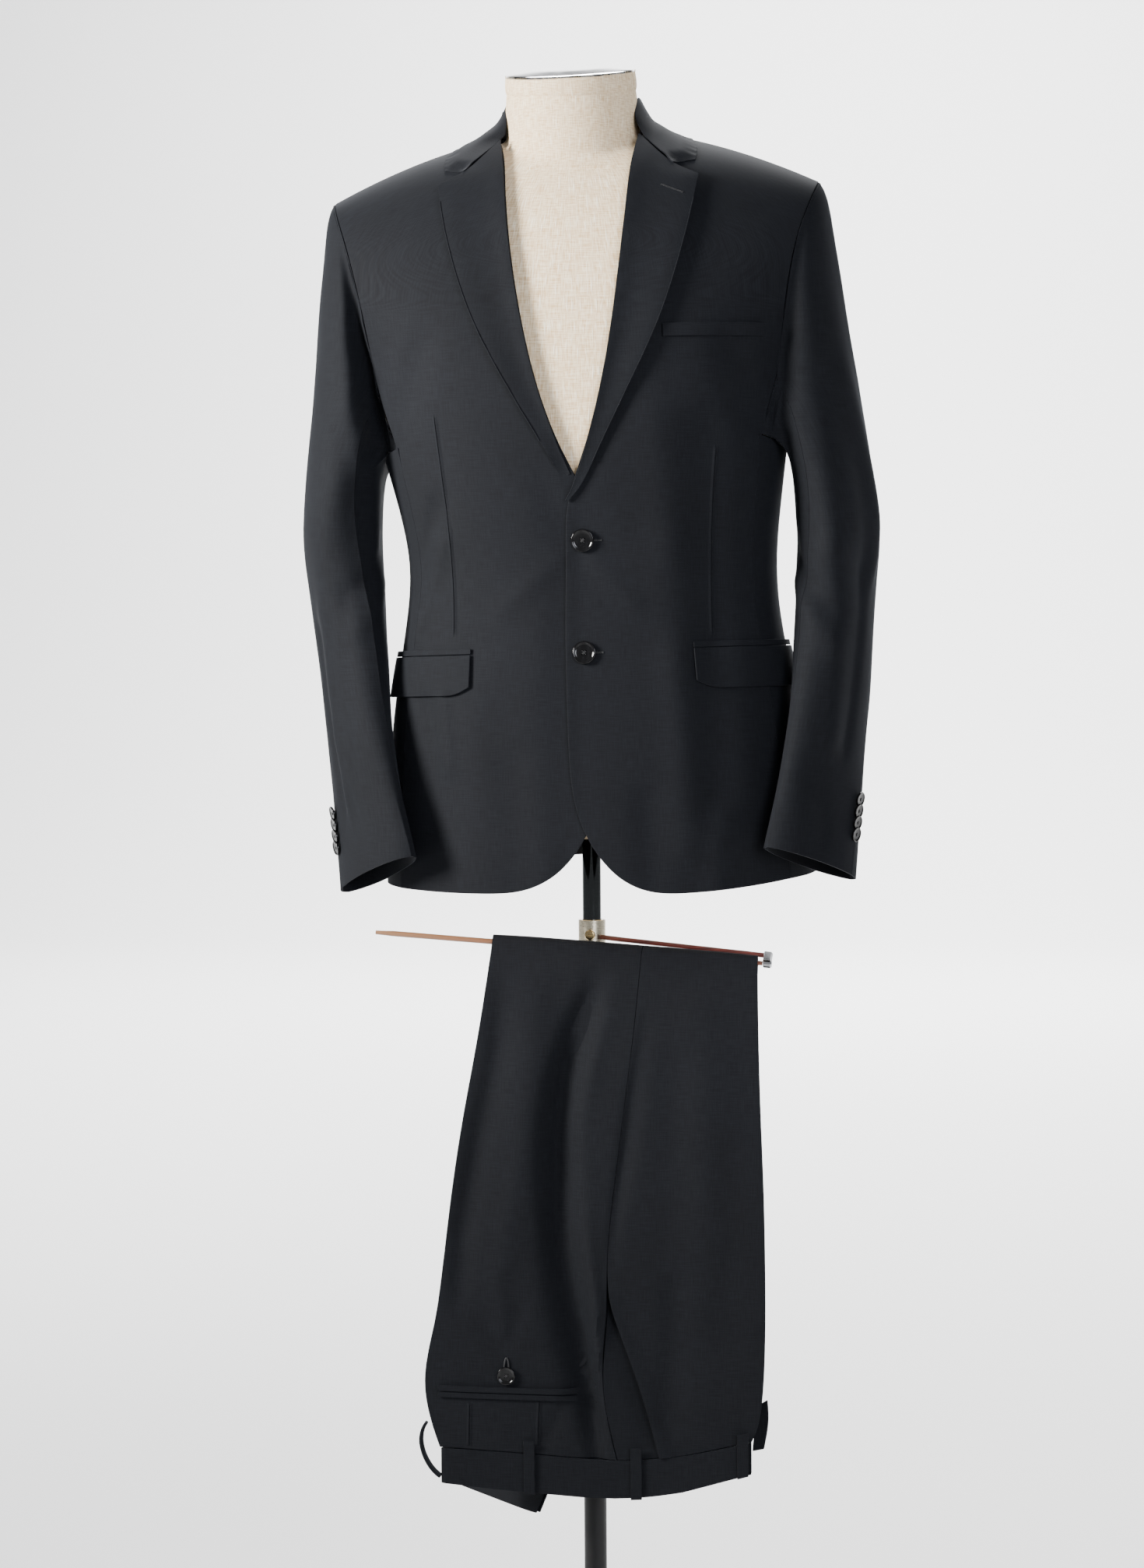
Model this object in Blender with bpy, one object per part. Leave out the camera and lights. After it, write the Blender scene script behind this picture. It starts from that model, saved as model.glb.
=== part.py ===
"""Two-piece business suit on a limbless dress form with a trouser bar.

The jacket is worn on the form as hollow walls of cloth: body panels, lapels, collar, two-piece sleeves,
flap pockets, breast welt and buttons. The trousers hang folded over the bar below it.
Metres, +Z up. The origin is the centre of the base plate's underside, the front faces -Y.
"""

import math

import bmesh
import bpy
import numpy as np
from mathutils import Matrix, Vector

# ---------------------------------------------------------------- driving dimensions, metres
SEAM_GAP = 0.0003  # between pieces that are sewn or seated together
WALL = 0.0016  # one layer of suiting with its interlining

LEAN = math.radians(1.45)  # the form tilts to -X on its tube
SWAY = math.tan(math.radians(0.43))  # and its upper sections are shifted to -X as well
LEAN_HEIGHT = 1.125  # the height that the lean leaves in place
WAIST_SHIFT, SHIFT_HEIGHT, SHIFT_REACH = 0.0045, 1.150, 0.060  # the waist sits off to +X

RIDGE_HEIGHT = 1.5535  # the shoulder seam's line, carried on to the middle of the neck
RIDGE_SLOPE, RIDGE_CURVE = 0.037, 0.984  # its drop with distance from the middle, and with that squared
NECK_SIDE = 0.072  # half width of the jacket's neck opening at the shoulder seam
NECK_BACK_HEIGHT = 1.530
SHOULDER_TIP = 0.2365
UNDERARM_HEIGHT = 1.245
UNDERARM_DIP = 0.010

EDGE_TOP, EDGE_UNDER = -0.0140, -0.0160  # each front's edge, past the middle of the body
CUTAWAY_TOP, CUTAWAY_UNDER = 0.0748, 0.0820  # where each front's rounded corner meets its hem
CUTAWAY_HEIGHT, HEM_TOP, HEM_UNDER = 0.930, 0.8126, 0.8166
HEM_FRONT_SEAM, HEM_BACK_SEAM, HEM_BACK = 0.8215, 0.8310, 0.8400
FRONT_SEAM, BACK_SEAM = 0.88, 0.86  # the side panel's seams, as shares of the body's half width
UNDERLAP = 0.0034  # how far the lower front lies inside the upper one

POCKET_HEIGHT, POCKET_START, FLAP_LENGTH, FLAP_DEPTH, JET_DEPTH = 1.0440, 0.1060, 0.150, 0.0385, 0.0055
WELT_START, WELT_LENGTH, WELT_HEIGHT, WELT_DEPTH = 0.0890, 0.092, 1.3365, 0.0125
BUTTON_PLACES = ((0.0018, 1.1485), (0.0038, 1.0425))
BUTTON_RADIUS, BUTTON_THICKNESS = 0.0110, 0.0036
CUFF_BUTTON_RADIUS, CUFF_BUTTON_THICKNESS, CUFF_BUTTON_SPACING = 0.0072, 0.0024, 0.0120
CUFF_BUTTON_TILT = math.radians(14.0)  # they overlap like tiles

PLATE_RADIUS, PLATE_THICKNESS = 0.190, 0.009
POLE_RADIUS, POLE_BORE, POLE_TOP = 0.0110, 0.0094, 0.7790
TUBE_RADIUS, TUBE_FOOT = 0.0090, 0.330
COLLAR_RADIUS, COLLAR_FOOT, COLLAR_TOP = 0.0133, 0.7570, 0.7825
FORM_FOOT, NECK_TOP, NECK_CAP_TILT = 0.866, 1.598, math.radians(9.0)

BAR_RADIUS, ARM_RADIUS = 0.0027, 0.0024
BAR_Y, ARM_Y = -0.0380, -0.0165
BAR_HEIGHT, BAR_SLOPE = 0.7562, -0.0780  # at x = 0, and its rise along +X
ARM_HEIGHT, ARM_SLOPE = 0.7673, -0.1080
BAR_LEFT, BAR_RIGHT = -0.2079, 0.1690
FITTING_LENGTH = 0.0085

WAIST_LAYERS = 0.0062  # hidden layers of the trousers between their near side and the bar's side
FOLD_LAYERS = 0.0040  # the same, pressed thinner where they go over the bar
LAYER_EDGE = 0.0040  # the stretch of each edge in which the hidden layers are stepped

# ---------------------------------------------------------------- tables: a row for each section
BODY_SECTIONS = (
    # height, half_width, front, back, roundness: the jacket's outer surface; a roundness of 2 is an ellipse
    (0.800, 0.2150, 0.126, 0.134, 2.10),
    (0.900, 0.2095, 0.126, 0.136, 2.15),
    (1.000, 0.1990, 0.122, 0.127, 2.20),
    (1.060, 0.1875, 0.117, 0.112, 2.30),
    (1.120, 0.1797, 0.115, 0.103, 2.40),
    (1.150, 0.1808, 0.117, 0.103, 2.40),
    (1.182, 0.1872, 0.121, 0.106, 2.40),
    (1.220, 0.1970, 0.125, 0.112, 2.40),
    (1.280, 0.2030, 0.129, 0.119, 2.40),
    (1.340, 0.2130, 0.128, 0.122, 2.40),
    (1.400, 0.2300, 0.120, 0.120, 2.40),
    (1.450, 0.2500, 0.104, 0.112, 2.40),
    (1.490, 0.2700, 0.082, 0.098, 2.40),
    (1.520, 0.2850, 0.058, 0.078, 2.40),
    (1.540, 0.2950, 0.034, 0.050, 2.40),
    (1.5495, 0.2985, 0.015, 0.024, 2.40),
    (RIDGE_HEIGHT, 0.3000, 0.000, 0.000, 2.40),
)
PANEL_ROWS = (
    # inner, outer: a row's height at the front edge or the middle of the back, and at the side
    (0.985, 0.985),
    (1.035, 1.035),
    (1.085, 1.085),
    (1.135, 1.135),
    (1.184, 1.190),
    (1.235, UNDERARM_HEIGHT),
    (1.290, 1.290),
    (1.340, 1.335),
    (1.390, 1.380),
    (1.440, 1.420),
    (1.484, 1.447),
    (1.512, 1.468),
    (1.531, 1.4800),
    (1.541, 1.4862),
)
YOKE_HEIGHT, YOKE_ROW = 1.425, 12  # above this row the back's rows take on the line of neck and shoulder
ARMHOLE = (
    # height, x: the seam round the sleeve, seen from the front
    (UNDERARM_HEIGHT, 0.1740),
    (1.290, 0.1905),
    (1.335, 0.1975),
    (1.380, 0.2040),
    (1.420, 0.2125),
    (1.447, 0.2205),
    (1.468, 0.2285),
    (1.480, 0.2330),
    (1.4862, 0.2352),
    (1.4899, SHOULDER_TIP),
)
ROLL_LINE = (
    # height, x: where the lapel folds back
    (1.184, -0.0125),
    (1.204, 0.0010),
    (1.232, 0.0113),
    (1.283, 0.0280),
    (1.341, 0.0405),
    (1.407, 0.0505),
    (1.472, 0.0577),
    (1.512, 0.0605),
    (1.531, 0.0645),
    (1.541, 0.0695),
    (1.548, 0.0720),
)
LAPEL_ROWS = (
    # roll_height, edge_height, edge_x
    (1.186, 1.1855, -0.0090),
    (1.208, 1.200, 0.0070),
    (1.245, 1.232, 0.0240),
    (1.290, 1.270, 0.0445),
    (1.335, 1.311, 0.0655),
    (1.380, 1.350, 0.0850),
    (1.424, 1.390, 0.0995),
    (1.466, 1.430, 0.1110),
    (1.504, 1.464, 0.1185),
    (1.5345, 1.493, 0.1235),
)
UNDER_LAPEL_ROWS = ((1.2110, 1.2055, 0.0130), (1.2260, 1.2180, 0.0180))  # the first two, on the lower front
NOTCH = (0.1015, 1.5030)  # x, height of the notch's inner corner
COLLAR_STATIONS = (
    # crease_x, crease_y, crease_height, sag, edge_x, edge_height, side (-1 front, 0 ridge, 1 back)
    (0.0650, -0.0370, 1.5400, 0.0000, 0.1215, 1.5105, -1),
    (0.0680, -0.0180, 1.5600, 0.0040, 0.1225, 1.5240, -1),
    (0.0700, 0.0020, 1.5755, 0.0100, 0.1150, 1.5390, 0),
    (0.0665, 0.0270, 1.5775, 0.0050, 0.1030, 1.5300, 1),
    (0.0530, 0.0500, 1.5740, 0.0000, 0.0760, 1.5240, 1),
    (0.0290, 0.0640, 1.5710, -0.0020, 0.0410, 1.5180, 1),
    (0.0000, 0.0690, 1.5700, -0.0020, 0.0000, 1.5155, 1),
)
COLLAR_FRONT = (
    # x, height: the collar's front end, from the crease to its corner
    (0.0655, 1.5380),
    (0.0740, 1.5300),
    (0.0870, 1.5180),
    (0.1023, 1.5065),
    (0.1215, 1.5105),
)
SLEEVE_SECTIONS = (
    # height, centre_x, centre_y, half_long, half_short, turn, tilt (degrees)
    (1.200, 0.2400, 0.0000, 0.0760, 0.0385, 4.0, 0.0),
    (1.155, 0.2435, 0.0020, 0.0720, 0.0403, 8.0, 0.0),
    (1.105, 0.2390, 0.0000, 0.0670, 0.0372, 12.0, 3.0),
    (1.050, 0.2350, -0.0080, 0.0640, 0.0346, 17.0, 6.0),
    (1.000, 0.2310, -0.0260, 0.0620, 0.0307, 22.0, 9.0),
    (0.950, 0.2255, -0.0440, 0.0600, 0.0268, 29.0, 12.0),
    (0.895, 0.2175, -0.0600, 0.0590, 0.0228, 37.0, 16.0),
    (0.836, 0.2080, -0.0800, 0.0580, 0.0240, 45.0, 19.0),
)
ARMHOLE_GAP = 0.0006
SLEEVE_HEAD = (
    # step down from the armhole, fullness
    (0.0, 0.0),
    (0.20, 0.0055),
    (0.45, 0.0043),
    (0.72, 0.0021),
)
SLEEVE_SPREAD = 0.15  # how fast the sleeve's outside moves out on its way down
FORM_SECTIONS = (
    # height, half_width, front, back, inset: the form's own section, and its least depth inside the jacket
    (0.866, 0.1760, 0.100, 0.108, 0.016),
    (0.930, 0.1840, 0.108, 0.116, 0.012),
    (1.020, 0.1800, 0.108, 0.112, 0.009),
    (1.100, 0.1660, 0.103, 0.095, 0.007),
    (1.180, 0.1720, 0.112, 0.098, 0.007),
    (1.260, 0.1860, 0.124, 0.112, 0.006),
    (1.340, 0.1940, 0.128, 0.122, 0.005),
    (1.420, 0.2060, 0.118, 0.120, 0.0050),
    (1.470, 0.2120, 0.096, 0.108, 0.0053),
    (1.505, 0.2000, 0.076, 0.092, 0.0055),
    (1.522, 0.1700, 0.062, 0.078, 0.0064),
    (1.548, 0.1200, 0.040, 0.050, 0.0090),
    (1.560, 0.0600, 0.010, 0.010, 0.0080),
)
NECK_SECTIONS = (
    # height, half_width, half_depth, centre_y
    (1.480, 0.0600, 0.0560, 0.0000),
    (1.520, 0.0650, 0.0600, -0.0010),
    (1.560, 0.0655, 0.0600, -0.0030),
    (1.600, 0.0620, 0.0580, -0.0060),
)
WAIST_HALF = (
    # height, left, right, y: outline of the trousers' front half, and its outer face
    (0.2740, -0.1430, 0.1590, -0.0800),
    (0.3050, -0.1530, 0.1672, -0.0790),
    (0.3450, -0.1605, 0.1712, -0.0775),
    (0.3950, -0.1480, 0.1724, -0.0750),
    (0.4235, -0.1435, 0.1725, -0.0732),
    (0.4700, -0.1380, 0.1720, -0.0700),
    (0.5300, -0.1310, 0.1708, -0.0655),
    (0.6000, -0.1205, 0.1675, -0.0600),
    (0.6800, -0.1050, 0.1655, -0.0530),
)
LEG_HALF = (
    # height, centre_x, centre_y, width, turn (degrees): the half that hangs behind the bar
    (0.7050, 0.0330, -0.0285, 0.2600, 0.0),
    (0.6200, 0.0120, -0.0260, 0.2420, -5.0),
    (0.5500, -0.0100, -0.0225, 0.2280, -11.0),
    (0.4800, -0.0300, -0.0150, 0.2150, -18.0),
    (0.4100, -0.0500, -0.0060, 0.2040, -27.0),
    (0.3400, -0.0690, 0.0040, 0.1940, -36.0),
    (0.2700, -0.0870, 0.0150, 0.1840, -45.0),
    (0.2080, -0.1015, 0.0250, 0.1760, -52.0),
)
BAND_NEAR_Y, BAND_FAR_Y, BAND_THICKNESS, BAND_TURN_X = -0.0788, -0.0724, 0.0030, -0.1370
CLOSURE_DEPTH = 0.0109  # of the far front's end, from the near face: it lies behind the hidden layers
SIDE_SEAM = (
    # height, x: the near leg's outside seam on the front half
    (0.2700, 0.0305),
    (0.3385, 0.0140),
    (0.4235, 0.0203),
    (0.4600, 0.0195),
    (0.5133, 0.0247),
    (0.5869, 0.0342),
    (0.6417, 0.0405),
    (0.7038, 0.0498),
    (0.7700, 0.0580),
)
POCKET_SLANT = (
    # height, x: the slanted edge of the front pocket
    (0.2700, 0.0712),
    (0.3346, 0.0530),
    (0.3818, 0.0353),
    (0.4235, 0.0203),
)
BACK_LOOP = (
    # x, height: the loop at the middle of the back, outwards from the band's folded edge
    (-0.1568, 0.3020),
    (-0.1610, 0.2955),
    (-0.1632, 0.2850),
    (-0.1612, 0.2730),
    (-0.1560, 0.2610),
    (-0.1490, 0.2520),
    (-0.1428, 0.2475),
)
BAND_SEAM = (
    # x, height: the seam between waistband and legs
    (-0.1470, 0.2772),
    (-0.0643, 0.2737),
    (0.0256, 0.2678),
    (0.0700, 0.2701),
    (0.1620, 0.2880),
)
BAND_EDGE = (
    # x, height: the waistband's lower, folded edge
    (-0.1420, 0.2429),
    (-0.0645, 0.2359),
    (0.0231, 0.2308),
    (0.0577, 0.2322),
    (0.1620, 0.2575),
)
CLOSURE_OUTLINE = (
    # x, height of the near side, x, height of the far side: the end of the far half
    (0.1590, 0.2770, 0.1700, 0.2795),
    (0.1600, 0.2900, 0.1730, 0.2930),
    (0.1610, 0.3030, 0.1752, 0.3100),
    (0.1620, 0.3200, 0.1735, 0.3270),
)
LOOP_PLACES = (
    # name, x, side of the band (-1 near, 1 far)
    ("belt_loop_2", -0.0552, -1),
    ("belt_loop_3", 0.0481, -1),
    ("belt_loop_4", 0.1505, -1),
    ("belt_loop_far_1", -0.0950, 1),
    ("belt_loop_far_2", 0.0050, 1),
    ("belt_loop_far_3", 0.1050, 1),
)
LOOP_BOW = (
    # share of the band's depth from its edge, distance off the band
    (-0.34, 0.0030),
    (-0.10, 0.0012),
    (0.20, 0.0014),
    (0.50, 0.0016),
    (0.80, 0.0014),
    (1.03, 0.0008),
)


# ---------------------------------------------------------------- small tools
def column(table, index):
    """One column of a table, as numbers."""
    return np.array([row[index] for row in table], float)


def curve_through(xs, ys, x):
    """A smooth curve through the points, with no overshoot: cubic pieces with limited slopes."""
    xs, ys = np.asarray(xs, float), np.asarray(ys, float)
    steps = np.diff(xs)
    slopes = np.diff(ys) / steps
    tangents = np.concatenate([[slopes[0]], np.zeros(len(slopes) - 1), [slopes[-1]]])
    for i in range(1, len(slopes)):
        if slopes[i - 1] * slopes[i] > 0:
            tangents[i] = 2 / (1 / slopes[i - 1] + 1 / slopes[i])
    x = np.clip(np.asarray(x, float), xs[0], xs[-1])
    i = np.clip(np.searchsorted(xs, x, side="right") - 1, 0, len(steps) - 1)
    t = (x - xs[i]) / steps[i]
    return (
        (1 + 2 * t) * (1 - t) ** 2 * ys[i]
        + t * (1 - t) ** 2 * steps[i] * tangents[i]
        + t * t * (3 - 2 * t) * ys[i + 1]
        + t * t * (t - 1) * steps[i] * tangents[i + 1]
    )


def lookup(table, index, at):
    return curve_through(column(table, 0), column(table, index), at)


def ease(value, low, high):
    t = np.clip((np.asarray(value, float) - low) / (high - low), 0, 1)
    return t * t * (3 - 2 * t)


def unit(vectors):
    return vectors / np.linalg.norm(vectors, axis=-1, keepdims=True)


def leaned(points):
    """The form's lean and sway, for points given on an upright form."""
    points = np.array(points, float)
    up = points[..., 2] - LEAN_HEIGHT
    shift = WAIST_SHIFT * np.exp(-(((points[..., 2] - SHIFT_HEIGHT) / SHIFT_REACH) ** 2))
    shift = shift * (1 - ease(np.abs(points[..., 0]), 0.190, 0.200))
    x = points[..., 0] - SWAY * up + shift
    points[..., 0] = x * math.cos(LEAN) - up * math.sin(LEAN)
    points[..., 2] = x * math.sin(LEAN) + up * math.cos(LEAN) + LEAN_HEIGHT
    return points


def material(name, colour, roughness, metallic=0.0):
    found = bpy.data.materials.get(name)
    if found:
        return found
    made = bpy.data.materials.new(name)
    made.use_nodes = True
    shader = made.node_tree.nodes["Principled BSDF"]
    shader.inputs["Base Color"].default_value = (*colour, 1.0)
    shader.inputs["Roughness"].default_value = roughness
    shader.inputs["Metallic"].default_value = metallic
    return made


def suiting(name):
    return material(name + "_wool", (0.020, 0.022, 0.027), 0.86)


def add_object(name, points, faces, finish, smooth=True):
    """A closed mesh object. The faces are turned to point out if their volume is negative."""
    points = np.asarray(points, float)
    mesh = bpy.data.meshes.new(name)
    mesh.from_pydata(points.tolist(), [], [list(map(int, face)) for face in faces])
    shape = bmesh.new()
    shape.from_mesh(mesh)
    if shape.calc_volume(signed=True) < 0:
        bmesh.ops.reverse_faces(shape, faces=shape.faces)
    shape.to_mesh(mesh)
    shape.free()
    mesh.materials.append(finish)
    if smooth:
        mesh.shade_smooth()
        mesh.set_sharp_from_angle(angle=math.radians(40))
    made = bpy.data.objects.new(name, mesh)
    bpy.context.scene.collection.objects.link(made)
    return made


def grid_triangles(rows, columns, start=0, closed=False):
    """Two triangles a cell of a grid of points numbered row by row."""
    faces = []
    for i in range(rows - 1):
        for j in range(columns if closed else columns - 1):
            a, b = start + i * columns + j, start + i * columns + (j + 1) % columns
            c, d = b + columns, a + columns
            faces += [(a, b, c), (a, c, d)]
    return faces


def inset_edges(grid, amount):
    """The grid with its four edges drawn in by the amount, for the gap at seams."""
    grid = grid.copy()
    for edge, inner in ((0, 1), (-1, -2)):
        grid[edge] += amount * unit(grid[inner] - grid[edge])
    for edge, inner in ((0, 1), (-1, -2)):
        grid[:, edge] += amount * unit(grid[:, inner] - grid[:, edge])
    return grid


def wall_solid(name, outer, inner, finish):
    """A closed wall between two grids of points of the same shape."""
    rows, columns = outer.shape[:2]
    count = rows * columns
    faces = grid_triangles(rows, columns)
    faces += [(a, c, b) for a, b, c in grid_triangles(rows, columns, count)]
    rim = [j for j in range(columns)]
    rim += [i * columns + columns - 1 for i in range(1, rows)]
    rim += [(rows - 1) * columns + j for j in range(columns - 2, -1, -1)]
    rim += [i * columns for i in range(rows - 2, 0, -1)]
    for a, b in zip(rim, rim[1:] + rim[:1]):
        faces += [(a, a + count, b), (b, a + count, b + count)]
    points = np.concatenate([outer.reshape(-1, 3), inner.reshape(-1, 3)])
    return add_object(name, points, faces, finish)


def cloth(name, grid, normals, finish, lift=0.0, thickness=WALL, gap=SEAM_GAP):
    """A cloth wall whose inner face lies `lift` outside the grid, or whose outer face is the grid."""
    top = lift + thickness if lift else 0.0
    outer = inset_edges(grid + top * normals, gap / 2)
    return wall_solid(name, outer, outer - thickness * normals, finish)


def turned(name, profile, segments, finish, place=None):
    """A solid turned about Z from (radius, height) points: a closed ring, or a line from axis to axis."""
    rings, faces, points = [], [], []
    for radius, height in profile:
        if radius == 0:
            rings.append([len(points)])
            points.append((0, 0, height))
            continue
        angles = 2 * np.pi * np.arange(segments) / segments
        rings.append(list(range(len(points), len(points) + segments)))
        points += [(radius * math.cos(t), radius * math.sin(t), height) for t in angles]
    pairs = list(zip(rings, rings[1:]))
    if profile[0][0] > 0:
        pairs.append((rings[-1], rings[0]))
    for low, high in pairs:
        for j in range(segments):
            k = (j + 1) % segments
            if len(low) == 1:
                faces.append((low[0], high[k], high[j]))
            elif len(high) == 1:
                faces.append((low[j], low[k], high[0]))
            else:
                faces.append((low[j], low[k], high[k], high[j]))
    points = np.array(points, float)
    if place is not None:
        points = points @ np.array(place.to_3x3()).T + np.array(place.translation)
    return add_object(name, points, faces, finish)


def facing_turn(direction):
    """The turn that brings +Z round to the direction."""
    return Vector((0, 0, 1)).rotation_difference(direction).to_matrix().to_4x4()


def rod(name, start, end, radius, segments, finish):
    """A round rod between two points, with small chamfers at its ends."""
    start, end = Vector(start), Vector(end)
    length, chamfer = (end - start).length, radius * 0.25
    place = Matrix.Translation(start) @ facing_turn(end - start)
    profile = [(0, 0), (radius - chamfer, 0), (radius, chamfer), (radius, length - chamfer)]
    profile += [(radius - chamfer, length), (0, length)]
    return turned(name, profile, segments, finish, place)


# ---------------------------------------------------------------- the jacket's outer surface
def ridge(x):
    """Height of the shoulder seam's line at a distance from the middle."""
    return RIDGE_HEIGHT - RIDGE_SLOPE * np.abs(x) - RIDGE_CURVE * x * x


def section_height(x, z):
    """The height at which the section tables are read: heights near the shoulders follow their slope."""
    return z + (RIDGE_HEIGHT - ridge(x)) * ease(z, 1.28, 1.47)


def skin_y(x, z, side):
    """y of the body's surface at x and height z: in front for side -1, behind for side 1."""
    h = section_height(x, z)
    share = np.clip(np.abs(x) / lookup(BODY_SECTIONS, 1, h), 0, 1)
    depth = lookup(BODY_SECTIONS, 2 if side < 0 else 3, h)
    power = lookup(BODY_SECTIONS, 4, h)
    return side * depth * (1 - share**power) ** (1 / power)


def outside(points):
    """Below 1 inside the jacket's outer surface, 1 on it."""
    x, y, z = points[..., 0], points[..., 1], points[..., 2]
    h = section_height(x, z)
    depth = np.where(y < 0, lookup(BODY_SECTIONS, 2, h), lookup(BODY_SECTIONS, 3, h))
    wide = np.abs(x) / lookup(BODY_SECTIONS, 1, h)
    power = lookup(BODY_SECTIONS, 4, h)
    return wide**power + (np.abs(y) / np.maximum(depth, 1e-4)) ** power


def skin_normals(points):
    """Outward normals of the body's surface; on the shoulder seam they point straight up from its slope."""
    step = 0.0004
    slope = np.stack(
        [outside(points + step * axis) - outside(points - step * axis) for axis in np.eye(3)], axis=-1
    )
    slope = unit(slope)
    x, z = points[..., 0], points[..., 2]
    up = np.stack([np.sign(x) * (RIDGE_SLOPE + 2 * RIDGE_CURVE * np.abs(x)), 0 * x, 0 * x + 1], axis=-1)
    share = ease(section_height(x, z), RIDGE_HEIGHT - 0.016, RIDGE_HEIGHT - 0.001)[..., None]
    return unit(slope * (1 - share) + unit(up) * share)


def ring_points(angles, z):
    """Points of the section at height z, by angle from the middle of the front. z is below the underarm."""
    angles, z = np.broadcast_arrays(np.asarray(angles, float), np.asarray(z, float))
    sine, cosine = np.sin(angles), np.cos(angles)
    depth = np.where(cosine > 0, lookup(BODY_SECTIONS, 2, z), lookup(BODY_SECTIONS, 3, z))
    power = 2 / lookup(BODY_SECTIONS, 4, z)
    x = lookup(BODY_SECTIONS, 1, z) * np.sign(sine) * np.abs(sine) ** power
    y = -depth * np.sign(cosine) * np.abs(cosine) ** power
    return np.stack([x, y, z], axis=-1)


def angle_of(share, z):
    """The angle of a point whose x is this share of the half width at height z."""
    return np.arcsin(share ** (lookup(BODY_SECTIONS, 4, z) / 2))


def mirrored(grid, side):
    grid = grid.copy()
    grid[..., 0] *= side
    return grid


# ---------------------------------------------------------------- jacket panels
def cutaway_x(z, edge, corner, hem):
    """x of the front edge: straight above the cutaway, and then a quarter of an ellipse into the hem."""
    fall = np.clip((CUTAWAY_HEIGHT - np.asarray(z, float)) / (CUTAWAY_HEIGHT - hem), 0, 1)
    return corner - (corner - edge) * np.sqrt(1 - fall * fall)


def front_grid(side):
    """A front from the hem to the shoulder seam: rows go up, columns go from the front edge to the side."""
    edge, corner, hem_low = EDGE_TOP, CUTAWAY_TOP, HEM_TOP
    if side < 0:
        edge, corner, hem_low = EDGE_UNDER, CUTAWAY_UNDER, HEM_UNDER
    across = np.array([0, 0.09, 0.19, 0.31, 0.45, 0.60, 0.76, 0.90, 1.0])
    rows = []
    drop = CUTAWAY_HEIGHT - hem_low
    low_edge = CUTAWAY_HEIGHT - 0.80 * drop  # the cutaway below this belongs to the first row
    for t in (0.0, 0.25, 0.58, 1.0):
        x_in = cutaway_x(low_edge + t * (CUTAWAY_HEIGHT - low_edge), edge, corner, hem_low)
        seam_height = HEM_FRONT_SEAM + t * (CUTAWAY_HEIGHT - HEM_FRONT_SEAM)
        seam = FRONT_SEAM * lookup(BODY_SECTIONS, 1, seam_height)
        x = x_in + (seam - x_in) * across
        fall = np.clip((corner - x) / (corner - edge), 0, 1)
        low = CUTAWAY_HEIGHT - drop * np.sqrt(1 - fall * fall)
        hem = hem_low + (HEM_FRONT_SEAM - hem_low) * ((x - corner) / (seam - corner)) ** 2
        low = np.where(x < corner, low, hem)
        low = np.where(across == 0, low_edge, low)
        rows.append((x, low + t * (CUTAWAY_HEIGHT - low)))
    for inner, outer in PANEL_ROWS:
        x_in = edge if inner < 1.18 else float(lookup(ROLL_LINE, 1, inner))
        if outer < UNDERARM_HEIGHT:
            x_out = FRONT_SEAM * float(lookup(BODY_SECTIONS, 1, outer))
        else:
            x_out = float(lookup(ARMHOLE, 1, outer))
        x = x_in + (x_out - x_in) * across
        level = inner + (outer - inner) * across
        follow = float(ease(inner, 1.44, 1.53))  # the rows take on the shoulder's slope
        share = (ridge(x) - ridge(x_in)) / (ridge(x_out) - ridge(x_in))
        rows.append((x, level + follow * (inner + (outer - inner) * share - level)))
    x = NECK_SIDE + (SHOULDER_TIP - NECK_SIDE) * across
    rows.append((x, ridge(x) - 0.00002))
    x, z = np.array([row[0] for row in rows]), np.array([row[1] for row in rows])
    return np.stack([x, skin_y(x, z, -1), z], axis=-1)


def back_grid():
    """Half a back from the hem to the neck and shoulder seam; columns go from the middle to the side."""
    across = np.array([0, 0.13, 0.225, NECK_SIDE / SHOULDER_TIP, 0.40, 0.52, 0.66, 0.80, 0.91, 1.0])
    rows = []
    low_rows = [(HEM_BACK, HEM_BACK_SEAM), (0.885, 0.885), (0.935, 0.935)]
    top_x = SHOULDER_TIP * across
    top = NECK_BACK_HEIGHT + (ridge(NECK_SIDE) - NECK_BACK_HEIGHT) * np.clip(top_x / NECK_SIDE, 0, 1) ** 2
    top = np.where(top_x < NECK_SIDE - 1e-6, top, ridge(top_x) - 0.00002)
    for inner, outer in low_rows + list(PANEL_ROWS):
        x_out = float(lookup(ARMHOLE, 1, outer))
        if outer < UNDERARM_HEIGHT:
            x_out = BACK_SEAM * float(lookup(BODY_SECTIONS, 1, outer))
        level = inner + (outer - inner) * across**2
        if outer > YOKE_HEIGHT:
            base = rows[YOKE_ROW][1]
            level = base + (top - base) * (outer - base[-1]) / (top[-1] - base[-1])
        rows.append((x_out * across, level))
    rows.append((top_x, top))
    x, z = np.array([row[0] for row in rows]), np.array([row[1] for row in rows])
    return np.stack([x, skin_y(x, z, 1), z], axis=-1)


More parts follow.
